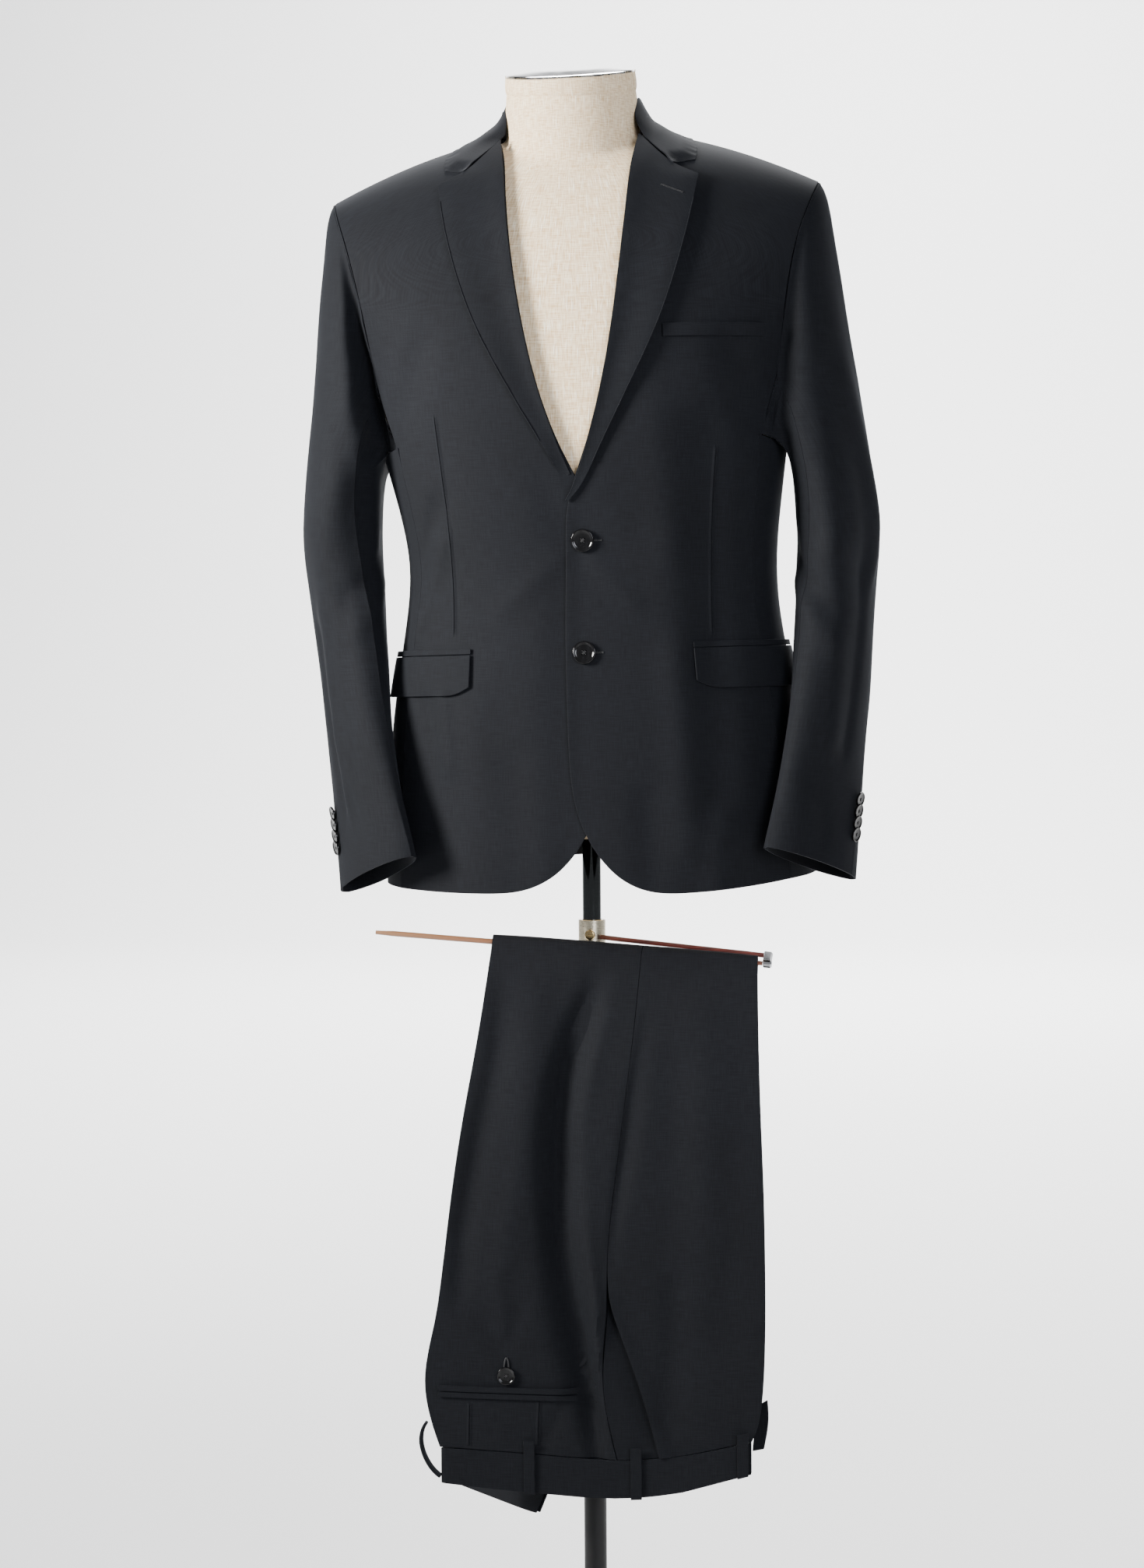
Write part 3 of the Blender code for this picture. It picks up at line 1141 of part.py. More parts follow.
def make_hidden_layers():
    """The rest of both legs: one rounded solid inside the near panels, grooved at its edges."""
    seam, slant = seam_shares()
    steps = np.linspace(0, 1, 6)
    start = WALL + 2 * SEAM_GAP + 0.0010
    rings = []
    for number, (_, _, half, _, pressed) in enumerate(fold_rows()):
        thick = WAIST_LAYERS + (FOLD_LAYERS - WAIST_LAYERS) * pressed
        begin = start + (WALL + SEAM_GAP - start) * pressed
        inner = -1 + (seam[number] + 1) * steps
        outer = slant[number] + (1 - slant[number]) * steps
        shares = np.concatenate([inner, outer])
        if slant[number] - seam[number] < 1e-6:
            shares[5] -= 0.01
            shares[6] += 0.01
        limit = 1 - LAYER_EDGE / half
        shares = np.clip(shares, -limit, limit)
        fall = 0.0022 - 0.0010 * pressed
        trim = 0.0010 / half
        side_depths = begin + fall + (thick - 2 * fall) * np.array([0.20, 0.38, 0.50, 0.62, 0.80])
        side_shares = 1 - trim * np.array([1.0, 1.0, 2.6, 1.0, 1.0])
        right = row_points(number, side_shares, side_depths - fall * side_shares**6)
        left = row_points(number, -side_shares, side_depths - fall * side_shares**6)
        ring = [row_points(number, shares, np.full(12, begin)), right]
        ring += [row_points(number, shares[::-1], np.full(12, begin + thick), far=True), left[::-1]]
        rings.append(np.concatenate(ring))
    rings = np.array(rings)
    count, around = rings.shape[:2]
    faces = grid_triangles(count, around, closed=True)
    for number in (0, count - 1):
        base = number * around
        near = [base + j for j in range(12)]
        right = [base + 12 + j for j in range(5)]
        far = [base + 17 + j for j in range(12)][::-1]
        left = [base + 29 + j for j in range(5)][::-1]
        cap = [(near[j], near[j + 1], far[j + 1], far[j]) for j in range(11)]
        cap += [(near[-1], *right, far[-1]), (far[0], *left[::-1], near[0])]
        faces += [face[::-1] for face in cap] if number == 0 else cap
    add_object("trouser_inner_layers", rings.reshape(-1, 3), faces, suiting("trouser_inner_layers"))


def band_point(x, share, y):
    """A point of the waistband at x, from its seam (share 0) down to its edge (share 1)."""
    seam = curve_through(*zip(*BAND_SEAM), x)
    edge = curve_through(*zip(*BAND_EDGE), x)
    return np.stack([np.asarray(x, float) + 0 * seam, y + 0 * seam, seam + (edge - seam) * share], axis=-1)


def make_waistband():
    """Two halves of the waistband, meeting at the middle of the back, where the band folds round at -X.

    The near half ends at the front closure; the far half's end shows beyond it at +X.
    """
    across = np.array([0.0, 0.33, 0.67, 1.0])
    bend = 0.5 * (BAND_FAR_Y - BAND_NEAR_Y)
    turn_x, turn_y = BAND_TURN_X, 0.5 * (BAND_FAR_Y + BAND_NEAR_Y)
    angles = np.radians([0, 40, 80])
    for name, side, right in (("near", -1, 0.1585), ("far", 1, 0.1585)):
        straight = np.linspace(right, turn_x, 10)
        x = np.concatenate([straight[:-1], turn_x - bend * np.sin(angles), [turn_x - bend]])
        round_y = turn_y + side * bend * np.cos(angles)
        y = np.concatenate([np.full(9, turn_y + side * bend), round_y, [turn_y]])
        normals = np.zeros((len(x), 3))
        normals[:9, 1] = side
        normals[9:12, 0], normals[9:12, 1] = -np.sin(angles), side * np.cos(angles)
        normals[12] = (-1, 0, 0)
        line = []
        for share in across:
            height = band_point(x, share, 0)[:, 2] - 0.0004 * (1 - share)
            line.append(np.stack([x, y, height], axis=-1))
        grid = np.array(line) + 0.5 * BAND_THICKNESS * normals
        lift = np.broadcast_to(normals, grid.shape)
        cloth(f"waistband_{name}", grid, lift, suiting(f"waistband_{name}"), thickness=BAND_THICKNESS)
    out = np.array([0, 1.0, 0])
    grid = []
    for x0, z0, x1, z1 in CLOSURE_OUTLINE:
        y = float(lookup(WAIST_HALF, 3, z0)) + CLOSURE_DEPTH
        grid.append([(x0, y, z0), (0.5 * (x0 + x1), y, 0.5 * (z0 + z1)), (x1, y - 0.001, z1)])
    grid = np.array(grid)
    cloth("closure_end", grid, np.broadcast_to(out, grid.shape), suiting("closure_end"), thickness=0.0024)


def make_belt_loops():
    """Strips tacked above and below the waistband; the one at the centre back bows out at the edge."""
    share, lift = column(LOOP_BOW, 0), column(LOOP_BOW, 1)
    for name, x, side in LOOP_PLACES:
        face = (BAND_NEAR_Y if side < 0 else BAND_FAR_Y) + side * 0.5 * BAND_THICKNESS
        xs = np.array([x - 0.0055, x + 0.0055])
        first = 0 if side < 0 else 1
        grid = np.array([band_point(xs, s, face) for s in share[first:]])
        grid[..., 1] += side * lift[first:, None]
        normals = np.broadcast_to(np.array([0, float(side), 0]), grid.shape)
        cloth(name, grid, normals, suiting(name), lift=1e-6, thickness=0.0016)
    grid = np.array([[(x, -0.0815, z), (x, -0.0705, z)] for x, z in BACK_LOOP])
    normals = grid_normals(grid)
    normals = np.where(normals[..., :1] > 0, -normals, normals)
    cloth("belt_loop_1", grid, normals, suiting("belt_loop_1"), thickness=0.0015)


def panel_patch(xs, heights, lift):
    """Points at x and height on the near face of the waist half, `lift` outside it."""
    grid = []
    for z in heights:
        left, right, y = (float(lookup(WAIST_HALF, i, z)) for i in (1, 2, 3))
        share = (np.asarray(xs) - 0.5 * (left + right)) / (0.5 * (right - left))
        grid.append(np.stack([xs, y + 0.0022 * share**6 - lift, np.full(len(xs), z)], axis=-1))
    return np.array(grid)


def make_back_pocket():
    """Two jets across the near seat, and the button above them."""
    x = np.linspace(-0.1440, -0.0087, 7)
    out = np.array([0, -1.0, 0])
    for name, low, high in (("back_jet_lower", 0.3262, 0.3318), ("back_jet_upper", 0.3323, 0.3380)):
        grid = panel_patch(x, (low, high), 0.0005)
        grid[..., 2] -= 0.022 * (x - x[0])
        cloth(name, grid, np.broadcast_to(out, grid.shape), suiting(name), lift=1e-6, thickness=0.0011)
    y = float(lookup(WAIST_HALF, 3, 0.3476))
    make_button("back_pocket_button", (-0.0774, y - 0.0006, 0.3476), (0, -1, 0.03), 0.0088, 0.0030)


def main():
    for obj in list(bpy.data.objects):
        bpy.data.objects.remove(obj, do_unlink=True)
    make_stand()
    make_form()
    make_bar()
    make_panels()
    make_lapels()
    make_collar()
    make_sleeves()
    make_pockets()
    make_buttons()
    make_near_leg()
    make_hidden_layers()
    make_waistband()
    make_belt_loops()
    make_back_pocket()


main()
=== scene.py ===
"""Cloth, fittings and finishes of a two-piece business suit on its dress form and stand.

Every cloth piece is a thin shell on the outer face of its solid: smoothed, creased by the tables below, and
mapped along its threads. Turned and small pieces are surfaces worked out from profiles. Lengths are in
metres, +Z is up and the front faces -Y.
"""

import math

import bmesh
import bpy
import numpy as np
from bpy.props import FloatProperty, FloatVectorProperty, IntProperty, PointerProperty
from mathutils import Matrix, Vector
from mathutils.bvhtree import BVHTree


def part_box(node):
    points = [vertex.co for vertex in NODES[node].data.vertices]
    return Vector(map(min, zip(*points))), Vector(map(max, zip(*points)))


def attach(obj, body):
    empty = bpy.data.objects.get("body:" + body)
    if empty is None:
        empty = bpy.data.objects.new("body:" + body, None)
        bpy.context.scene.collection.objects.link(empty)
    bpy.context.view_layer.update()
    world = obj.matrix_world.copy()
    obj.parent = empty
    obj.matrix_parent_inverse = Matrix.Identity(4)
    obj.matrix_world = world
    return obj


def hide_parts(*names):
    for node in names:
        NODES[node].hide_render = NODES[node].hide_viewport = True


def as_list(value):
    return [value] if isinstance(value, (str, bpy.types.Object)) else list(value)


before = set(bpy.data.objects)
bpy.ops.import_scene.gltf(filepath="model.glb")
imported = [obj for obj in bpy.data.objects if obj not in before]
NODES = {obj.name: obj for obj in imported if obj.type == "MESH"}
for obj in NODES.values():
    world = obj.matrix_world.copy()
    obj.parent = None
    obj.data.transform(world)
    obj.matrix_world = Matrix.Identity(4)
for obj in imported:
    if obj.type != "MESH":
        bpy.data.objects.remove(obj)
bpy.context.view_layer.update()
SIDES = ("left", "right")  # the wearer's

bl_info = {
    "name": "Business suit on a dress form",
    "version": (1, 0, 0),
    "blender": (4, 5, 0),
    "location": "3D View > Sidebar > Suit",
    "description": "Dresses the packed suit, form and stand with soft cloth, trims and real finishes",
    "category": "Object",
}

# ---------------------------------------------------------------- sizes that follow from the frame, metres
TUBE_LOW, TUBE_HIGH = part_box("form_tube")
POLE_LOW, POLE_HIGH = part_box("pole")
PLATE_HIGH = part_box("base_plate")[1]
BAR_LOW, BAR_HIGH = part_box("trouser_bar")
TUBE_RADIUS = 0.5 * (TUBE_HIGH.x - TUBE_LOW.x)
POLE_RADIUS = 0.5 * (POLE_HIGH.x - POLE_LOW.x)
WALL_GAP = 0.0002  # between a turned fitting and the pole inside it

# ---------------------------------------------------------------- the eye and its distance, metres
EYE_DISTANCE, EYE_HEIGHT, EYE_TURN = 3.5, 1.0344, math.radians(6.0)
AIM_TURN, AIM_DROP, AIM_ROLL = math.radians(0.307), math.radians(1.953), math.radians(-0.35)
FIELD_WIDTH = 1.1172  # width of the view at EYE_DISTANCE

LAMPS = (
    # name, place, aim, size, watts, tint, spread in degrees
    ("key", (-2.3, -1.35, 1.85), (0.0, 0.0, 1.34), 1.1, 39.0, "#fffdf9", 62.0),
    ("fill", (1.9, -3.6, 1.9), (0.05, 0.0, 1.32), 2.0, 13.0, "#f2f5ff", 50.0),
    ("floor_top", (0.0, 3.4, 5.2), (0.0, 4.0, 0.0), 3.0, 900.0, "#ffffff", 180.0),
    ("wall_top", (0.0, 7.6, 5.0), (0.0, 10.5, 1.4), 4.0, 1240.0, "#ffffff", 180.0),
)

# ---------------------------------------------------------------- how cloth pieces stand off or sink, metres
FRONT_EDGE_LIFT = 0.0016  # the upper front's edge off the lower front
LAPEL_LIFT = 0.0034  # the lapel's outer edge off the front
TIP_IN, TIP_UP = 0.0052, 0.0050  # the collar's front tips: in to the neck, and up
WELT_SINK = 0.0013  # the breast welt into the front
SLANT_LIFT = 0.0024  # the front panel's slanted edge off the pocket's facing
FACING_SINK = 0.005  # the facing behind that edge
BACK_JET_LIFT = 0.0014  # the back pocket's jets off the panel
CORNER_OUT = (0.0025, -0.0125, 0.0)  # the right sleeve's inner front corner: x, y, z
CORNER_TURN, CORNER_SPREAD = 144, 28  # where that corner lies round the arm and how far it reaches, degrees
BAND_DIP, NECK_DEPTH = 0.0035, 0.06  # the neck band sags by this at its front, which lies this far to -Y
MAX_SETTLE = 0.012  # the collar is drawn down onto cloth no further off than this

# ---------------------------------------------------------------- cloth pieces: thickness as made up, metres
LAPEL_CLOTH, COLLAR_CLOTH, FLAP_CLOTH, JET_CLOTH, WELT_CLOTH = 0.0018, 0.0014, 0.0018, 0.0012, 0.0016
FACING_CLOTH, BACK_JET_CLOTH, WAISTBAND_CLOTH, CLOSURE_CLOTH = 0.0009, 0.0020, 0.0030, 0.0024
LOOP_CLOTH, BOWED_LOOP_CLOTH = 0.0015, 0.0030  # the first belt loop bows out over the waistband's edge
HEM_CLOTH = 0.0007
FINE, COARSE = 3, 2  # how many times a large or a small piece's faces are divided

# ---------------------------------------------------------------- where the shapes lie, metres
NECK_X, NECK_RADIUS = -0.012, 0.09  # the neck's middle, and the radius at which its cloth is measured
ARM_TOP = 1.30  # above this the sleeve's middle line goes straight up
ARMHOLE_TOP = 1.46  # the sleeve's creases and trough begin below this
ARM_RADIUS, ARM_MAP_RADIUS = 0.045, 0.046  # at which creases and cloth are measured round the arm
BODY_SIDES = (0.010, 0.045)  # distances to -Y or +Y between which the body's creases come in
SHOULDER = (1.36, 1.46)  # heights between which the jacket's cloth levels out
FOLD_TOP = 0.752  # the trousers' folds begin below the bar at this height
NEAR_SIDE = (0.044, 0.052)  # distances to -Y between which a point comes to lie on the trousers' near side

# ---------------------------------------------------------------- creases: soft troughs and ridges
FRONT_CREASES = (
    # x0, z0, x1, z1: ends in the front view; width; depth, outwards
    (0.074, 1.262, 0.089, 1.143, 0.020, 0.0016),
    (0.089, 1.143, 0.094, 1.034, 0.022, 0.0012),
    (0.094, 1.034, 0.106, 0.860, 0.018, 0.0026),
    (0.123, 1.250, 0.127, 1.070, 0.022, -0.0026),
    (0.128, 1.040, 0.132, 0.900, 0.018, -0.0022),
    (0.136, 0.885, 0.131, 0.822, 0.014, 0.0020),
    (0.066, 0.900, 0.070, 0.830, 0.016, -0.0016),
    (-0.165, 1.056, -0.136, 1.146, 0.010, 0.0034),
    (-0.158, 1.100, -0.136, 1.180, 0.011, -0.0034),
    (-0.134, 1.000, -0.127, 0.935, 0.008, 0.0022),
    (-0.146, 0.990, -0.141, 0.880, 0.014, -0.0026),
    (-0.100, 0.985, -0.104, 0.840, 0.020, 0.0012),
    (-0.062, 0.930, -0.058, 0.828, 0.020, -0.0014),
    (-0.073, 1.313, -0.029, 1.240, 0.016, 0.0006),
    (-0.029, 1.240, -0.010, 1.190, 0.012, 0.0006),
    (0.044, 1.290, 0.022, 1.232, 0.014, -0.0006),
    (0.018, 1.130, 0.052, 1.090, 0.010, 0.0010),
    (-0.020, 1.128, -0.070, 1.086, 0.010, 0.0010),
    (0.146, 1.330, 0.176, 1.250, 0.016, -0.0024),
    (-0.150, 1.330, -0.178, 1.245, 0.016, -0.0024),
)
BACK_CREASES = (
    # x0, z0, x1, z1: ends in the back view; width; depth, outwards
    (0.150, 1.340, 0.172, 1.230, 0.018, -0.0030),
    (0.120, 1.370, 0.140, 1.250, 0.016, 0.0020),
    (-0.155, 1.335, -0.178, 1.225, 0.017, -0.0030),
    (-0.128, 1.365, -0.150, 1.245, 0.016, 0.0018),
    (0.080, 1.140, 0.150, 1.118, 0.012, -0.0018),
    (-0.086, 1.132, -0.156, 1.112, 0.012, -0.0020),
    (0.060, 1.105, 0.132, 1.086, 0.011, 0.0014),
    (-0.050, 1.100, -0.120, 1.078, 0.012, 0.0014),
    (0.096, 0.980, 0.104, 0.850, 0.020, 0.0018),
    (-0.090, 0.990, -0.112, 0.845, 0.020, 0.0018),
    (0.000, 1.490, -0.004, 1.380, 0.020, -0.0012),
    (0.050, 1.515, -0.060, 1.508, 0.008, -0.0018),
)
SLEEVE_CREASES = (
    # side (1 is +X), angle from the outside towards the front (degrees), height at both ends; width; depth
    (-1, 92, 1.210, 70, 1.080, 0.011, 0.0020),
    (-1, 70, 1.080, 52, 0.900, 0.008, 0.0020),
    (-1, 100, 1.100, 84, 0.920, 0.006, -0.0012),
    (-1, 40, 1.060, 22, 0.900, 0.012, -0.0022),
    (-1, 60, 0.960, 96, 0.880, 0.010, 0.0016),
    (-1, 160, 1.150, 104, 1.100, 0.008, -0.0018),
    (-1, 156, 1.110, 100, 1.062, 0.008, 0.0014),
    (-1, -60, 1.170, -96, 1.040, 0.014, -0.0024),
    (-1, -30, 1.300, -50, 1.160, 0.016, 0.0022),
    (1, 104, 1.340, 92, 1.140, 0.010, 0.0028),
    (1, 92, 1.140, 78, 0.960, 0.010, 0.0028),
    (1, 62, 1.300, 56, 1.120, 0.013, -0.0026),
    (1, 56, 1.120, 44, 0.960, 0.012, -0.0022),
    (1, 24, 1.300, 20, 1.130, 0.014, 0.0020),
    (1, 146, 1.146, 96, 1.084, 0.009, -0.0028),
    (1, 138, 1.108, 88, 1.048, 0.009, 0.0024),
    (1, 100, 0.930, 70, 0.870, 0.010, -0.0018),
    (1, -58, 1.160, -92, 1.050, 0.014, -0.0024),
    (1, -34, 1.310, -52, 1.150, 0.016, 0.0020),
)
TROUSER_FOLDS = (
    # each fold runs through its rows of x, z, width towards -X, width towards +X, depth towards the front
    (
        (0.0060, 0.7300, 0.010, 0.014, -0.0018),
        (0.0040, 0.7120, 0.011, 0.016, -0.0046),
        (-0.0110, 0.6730, 0.013, 0.018, -0.0094),
        (-0.0225, 0.6340, 0.013, 0.020, -0.0124),
        (-0.0285, 0.5900, 0.013, 0.021, -0.0140),
        (-0.0300, 0.5460, 0.013, 0.022, -0.0146),
        (-0.0295, 0.5020, 0.013, 0.021, -0.0146),
        (-0.0245, 0.4630, 0.016, 0.018, -0.0144),
        (-0.0155, 0.4240, 0.020, 0.013, -0.0152),
        (-0.0065, 0.3850, 0.021, 0.010, -0.0156),
        (-0.0010, 0.3510, 0.018, 0.009, -0.0142),
        (0.0050, 0.3170, 0.014, 0.008, -0.0110),
        (0.0085, 0.2900, 0.011, 0.007, -0.0068),
        (0.0110, 0.2660, 0.010, 0.006, -0.0038),
        (0.0125, 0.2460, 0.009, 0.006, -0.0012),
    ),
    (
        (0.0240, 0.7220, 0.011, 0.011, 0.0008),
        (0.0030, 0.6460, 0.011, 0.010, 0.0024),
        (-0.0090, 0.5900, 0.010, 0.011, 0.0028),
        (-0.0060, 0.5200, 0.010, 0.012, 0.0020),
        (0.0040, 0.4600, 0.008, 0.006, 0.0022),
        (0.0101, 0.4200, 0.005, 0.005, 0.0026),
        (0.0101, 0.3860, 0.005, 0.004, 0.0028),
        (0.0121, 0.3460, 0.005, 0.004, 0.0024),
        (0.0185, 0.3070, 0.005, 0.005, 0.0010),
    ),
    (
        (0.0560, 0.6900, 0.004, 0.010, -0.0004),
        (0.0440, 0.6200, 0.005, 0.011, -0.0024),
        (0.0370, 0.5700, 0.005, 0.011, -0.0030),
        (0.0290, 0.5200, 0.004, 0.009, -0.0026),
        (0.0230, 0.4630, 0.004, 0.008, -0.0010),
    ),
    (
        (-0.0830, 0.7360, 0.010, 0.014, -0.0012),
        (-0.0877, 0.6590, 0.010, 0.015, -0.0034),
        (-0.1044, 0.5775, 0.011, 0.015, -0.0044),
        (-0.1210, 0.4840, 0.010, 0.014, -0.0040),
        (-0.1264, 0.4180, 0.008, 0.012, -0.0020),
    ),
    (
        (-0.0480, 0.7300, 0.018, 0.018, 0.0016),
        (-0.0620, 0.5600, 0.018, 0.018, 0.0030),
        (-0.0800, 0.4580, 0.016, 0.016, 0.0022),
    ),
    ((-0.1200, 0.4400, 0.010, 0.014, -0.0010), (-0.0880, 0.3780, 0.009, 0.011, -0.0007)),
    ((-0.0600, 0.4200, 0.010, 0.009, -0.0008), (-0.0760, 0.3780, 0.008, 0.007, -0.0010)),
    ((-0.0850, 0.4430, 0.009, 0.009, 0.0010), (-0.0790, 0.3800, 0.006, 0.006, 0.0008)),
    ((-0.0160, 0.3300, 0.007, 0.007, -0.0012), (-0.0410, 0.2850, 0.007, 0.007, -0.0018)),
    ((0.0850, 0.6400, 0.020, 0.020, -0.0014), (0.0800, 0.4500, 0.020, 0.020, -0.0014)),
    ((0.0850, 0.4300, 0.013, 0.016, -0.0024), (0.0800, 0.3060, 0.013, 0.016, -0.0018)),
    ((0.1100, 0.7000, 0.022, 0.022, 0.0012), (0.1200, 0.4800, 0.022, 0.022, 0.0014)),
    ((0.1400, 0.5600, 0.018, 0.018, -0.0012), (0.1360, 0.3800, 0.018, 0.018, -0.0010)),
)
SLANT_EDGE = (
    # x, z down the slanted edge of the front pocket
    (0.0203, 0.4235),
    (0.0353, 0.3818),
    (0.0530, 0.3346),
    (0.0712, 0.2700),
)
DARTS = (
    # name, then x, z of points down the seam
    ("front_dart_right", ((-0.1368, 1.2730), (-0.1312, 1.2250), (-0.1240, 1.1575), (-0.1205, 1.0560))),
    ("front_dart_left", ((0.1310, 1.2400), (0.1262, 1.1770), (0.1245, 1.1100), (0.1258, 1.0560))),
)
SEAT_DARTS = (
    # name, then x, z of points down the seam
    ("seat_dart_1", ((-0.1128, 0.3215), (-0.1133, 0.3010), (-0.1137, 0.2790))),
    ("seat_dart_2", ((-0.0452, 0.3235), (-0.0460, 0.3080), (-0.0470, 0.2800))),
)
NECK_SEAM = ((-0.058, 1.5065), (-0.035, 1.5055), (-0.010, 1.5052), (0.018, 1.5056), (0.036, 1.5064))  # x, z
LAPEL_BUTTONHOLE = ((0.0785, 1.4855), (0.0990, 1.4775))  # x, z of its ends


# ---------------------------------------------------------------- small tools
def linear(code):
    """A colour's sRGB hex code as linear red, green and blue."""
    values = [int(code[i : i + 2], 16) / 255 for i in (1, 3, 5)]
    return tuple(v / 12.92 if v <= 0.04045 else ((v + 0.055) / 1.055) ** 2.4 for v in values)


def ease(value, low, high):
    """0 below low, 1 above high, and a smooth S between: 3t^2 - 2t^3."""
    t = np.clip((value - low) / (high - low), 0, 1)
    return t * t * (3 - 2 * t)


def opaque(colour):
    """Linear red, green and blue with full alpha, as a shader's socket takes them."""
    return (*colour, 1.0)


def unit(vectors):
    """The vectors at length 1."""
    return vectors / np.maximum(np.linalg.norm(vectors, axis=-1, keepdims=True), 1e-12)


def new_piece(name, points, faces, smooth_angle=45.0):
    """A mesh object at the origin from an array of points and a list or array of faces."""
    mesh = bpy.data.meshes.new(name)
    mesh.from_pydata(np.asarray(points, float).tolist(), [], [tuple(map(int, face)) for face in faces])
    mesh.validate()
    mesh.shade_smooth()
    mesh.set_sharp_from_angle(angle=math.radians(smooth_angle))
    piece = bpy.data.objects.new(name, mesh)
    bpy.context.scene.collection.objects.link(piece)
    return piece


def grid_faces(rows, columns, closed=False):
    """Quads between neighbours of a rows by columns grid; closed joins the last column to the first."""
    i, j = np.meshgrid(np.arange(rows - 1), np.arange(columns if closed else columns - 1), indexing="ij")
    k = (j + 1) % columns
    here, above = i * columns, (i + 1) * columns
    return np.stack([here + j, here + k, above + k, above + j], axis=-1).reshape(-1, 4)


def round_angles(count):
    """Evenly spaced angles of a full turn, in radians."""
    return 2 * np.pi * np.arange(count) / count


def placed(points, place):
    """Points turned and moved by a matrix."""
    return points @ np.array(place.to_3x3()).T + np.array(place.translation)


def box_middle(node):
    """The middle of a node's box."""
    low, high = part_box(node)
    return 0.5 * (low + high)


def finish(piece, material, body, nodes=(), slot=None):
    """Gives the piece its material and body, and lets it stand for its nodes."""
    piece.data.materials.clear()
    piece.data.materials.append(material)
    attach(piece, body)
    if nodes:
        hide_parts(*nodes)
    slot or nodes[0]
    return piece


def evaluated_arrays(piece):
    """Points and faces of a piece with its modifiers applied."""
    graph = bpy.context.evaluated_depsgraph_get()
    made = piece.evaluated_get(graph)
    mesh = made.to_mesh()
    points = np.empty(len(mesh.vertices) * 3, np.float32)
    mesh.vertices.foreach_get("co", points)
    faces = [tuple(face.vertices) for face in mesh.polygons]
    made.to_mesh_clear()
    return points.reshape(-1, 3).astype(float), faces


def vertex_points(piece):
    """The piece's points as an array."""
    points = np.empty(len(piece.data.vertices) * 3, np.float32)
    piece.data.vertices.foreach_get("co", points)
    return points.reshape(-1, 3).astype(float)


def move_to(piece, points):
    """Puts the piece's points in new places."""
    piece.data.vertices.foreach_set("co", points.astype(np.float32).ravel())


def set_cloth_map(piece, across, along):
    """A UV map in metres: u runs across the cloth and v along its warp."""
    corners = np.empty(len(piece.data.loops), np.int32)
    piece.data.loops.foreach_get("vertex_index", corners)
    layer = piece.data.uv_layers.new(name="cloth")
    layer.data.foreach_set("uv", np.stack([across, along], axis=-1)[corners].astype(np.float32).ravel())


def tube_along(path, radius, around=8):
    """A round tube on a path: radius * (cos(angle) * side + sin(angle) * up), square to its tangents."""
    path = np.asarray(path, float)
    tangents = unit(np.gradient(path, axis=0))
    guide = np.array([0.0, 0.0, 1.0]) if abs(tangents[:, 2]).mean() < 0.8 else np.array([1.0, 0.0, 0.0])
    side = unit(np.cross(tangents, guide))
    up = np.cross(side, tangents)
    angles = round_angles(around)
    radii = np.broadcast_to(np.asarray(radius, float), (len(path),))[:, None, None]
    rings = path[:, None] + radii * (
        np.cos(angles)[None, :, None] * side[:, None] + np.sin(angles)[None, :, None] * up[:, None]
    )
    return rings.reshape(-1, 3), capped_faces(len(path), around)


def capped_faces(rings, around):
    """The faces of a tube made of rings, with one face over each end."""
    faces = [tuple(face) for face in grid_faces(rings, around, closed=True)]
    return faces + [tuple(range(around))[::-1], tuple(range((rings - 1) * around, rings * around))]


def turned(name, profile, segments, place=None):
    """A surface turned about Z: each (radius, height) of the profile becomes a ring; radius 0 is closed."""
    profile = np.asarray(profile, float)
    radii, heights = profile[:, :1], profile[:, 1:]
    angles = round_angles(segments)
    rings = np.stack([radii * np.cos(angles), radii * np.sin(angles), heights + 0 * angles], axis=-1)
    points = rings.reshape(-1, 3)
    if place is not None:
        points = placed(points, place)
    piece = new_piece(name, points, grid_faces(len(profile), segments, closed=True), 38.0)
    shape = bmesh.new()
    shape.from_mesh(piece.data)
    bmesh.ops.remove_doubles(shape, verts=shape.verts, dist=1e-6)
    bmesh.ops.recalc_face_normals(shape, faces=shape.faces)
    shape.to_mesh(piece.data)
    shape.free()
    return piece


def joined(name, parts, smooth_angle=45.0):
    """One piece from several (points, faces) pairs."""
    points, faces, start = [], [], 0
    for part_points, part_faces in parts:
        points.append(np.asarray(part_points, float))
        faces += [tuple(start + int(v) for v in face) for face in part_faces]
        start += len(part_points)
    return new_piece(name, np.concatenate(points), faces, smooth_angle)


# ---------------------------------------------------------------- cloth shells on the solids
SIDE_ANGLE = math.radians(52)  # a wall's two faces and its rim meet at more than this
SHARP_SIDE_ANGLE = math.radians(82)  # the same for the under sleeves, which fold sharply under the arm
CORNER_ANGLE = math.radians(48)  # the rim turns by more than this at a corner
MERGE_DISTANCE = 2e-6


def merged(node):
    """The node's mesh as a bmesh, its triangles joined at their corners."""
    shape = bmesh.new()
    shape.from_mesh(NODES[node].data)
    bmesh.ops.remove_doubles(shape, verts=shape.verts, dist=MERGE_DISTANCE)
    return shape


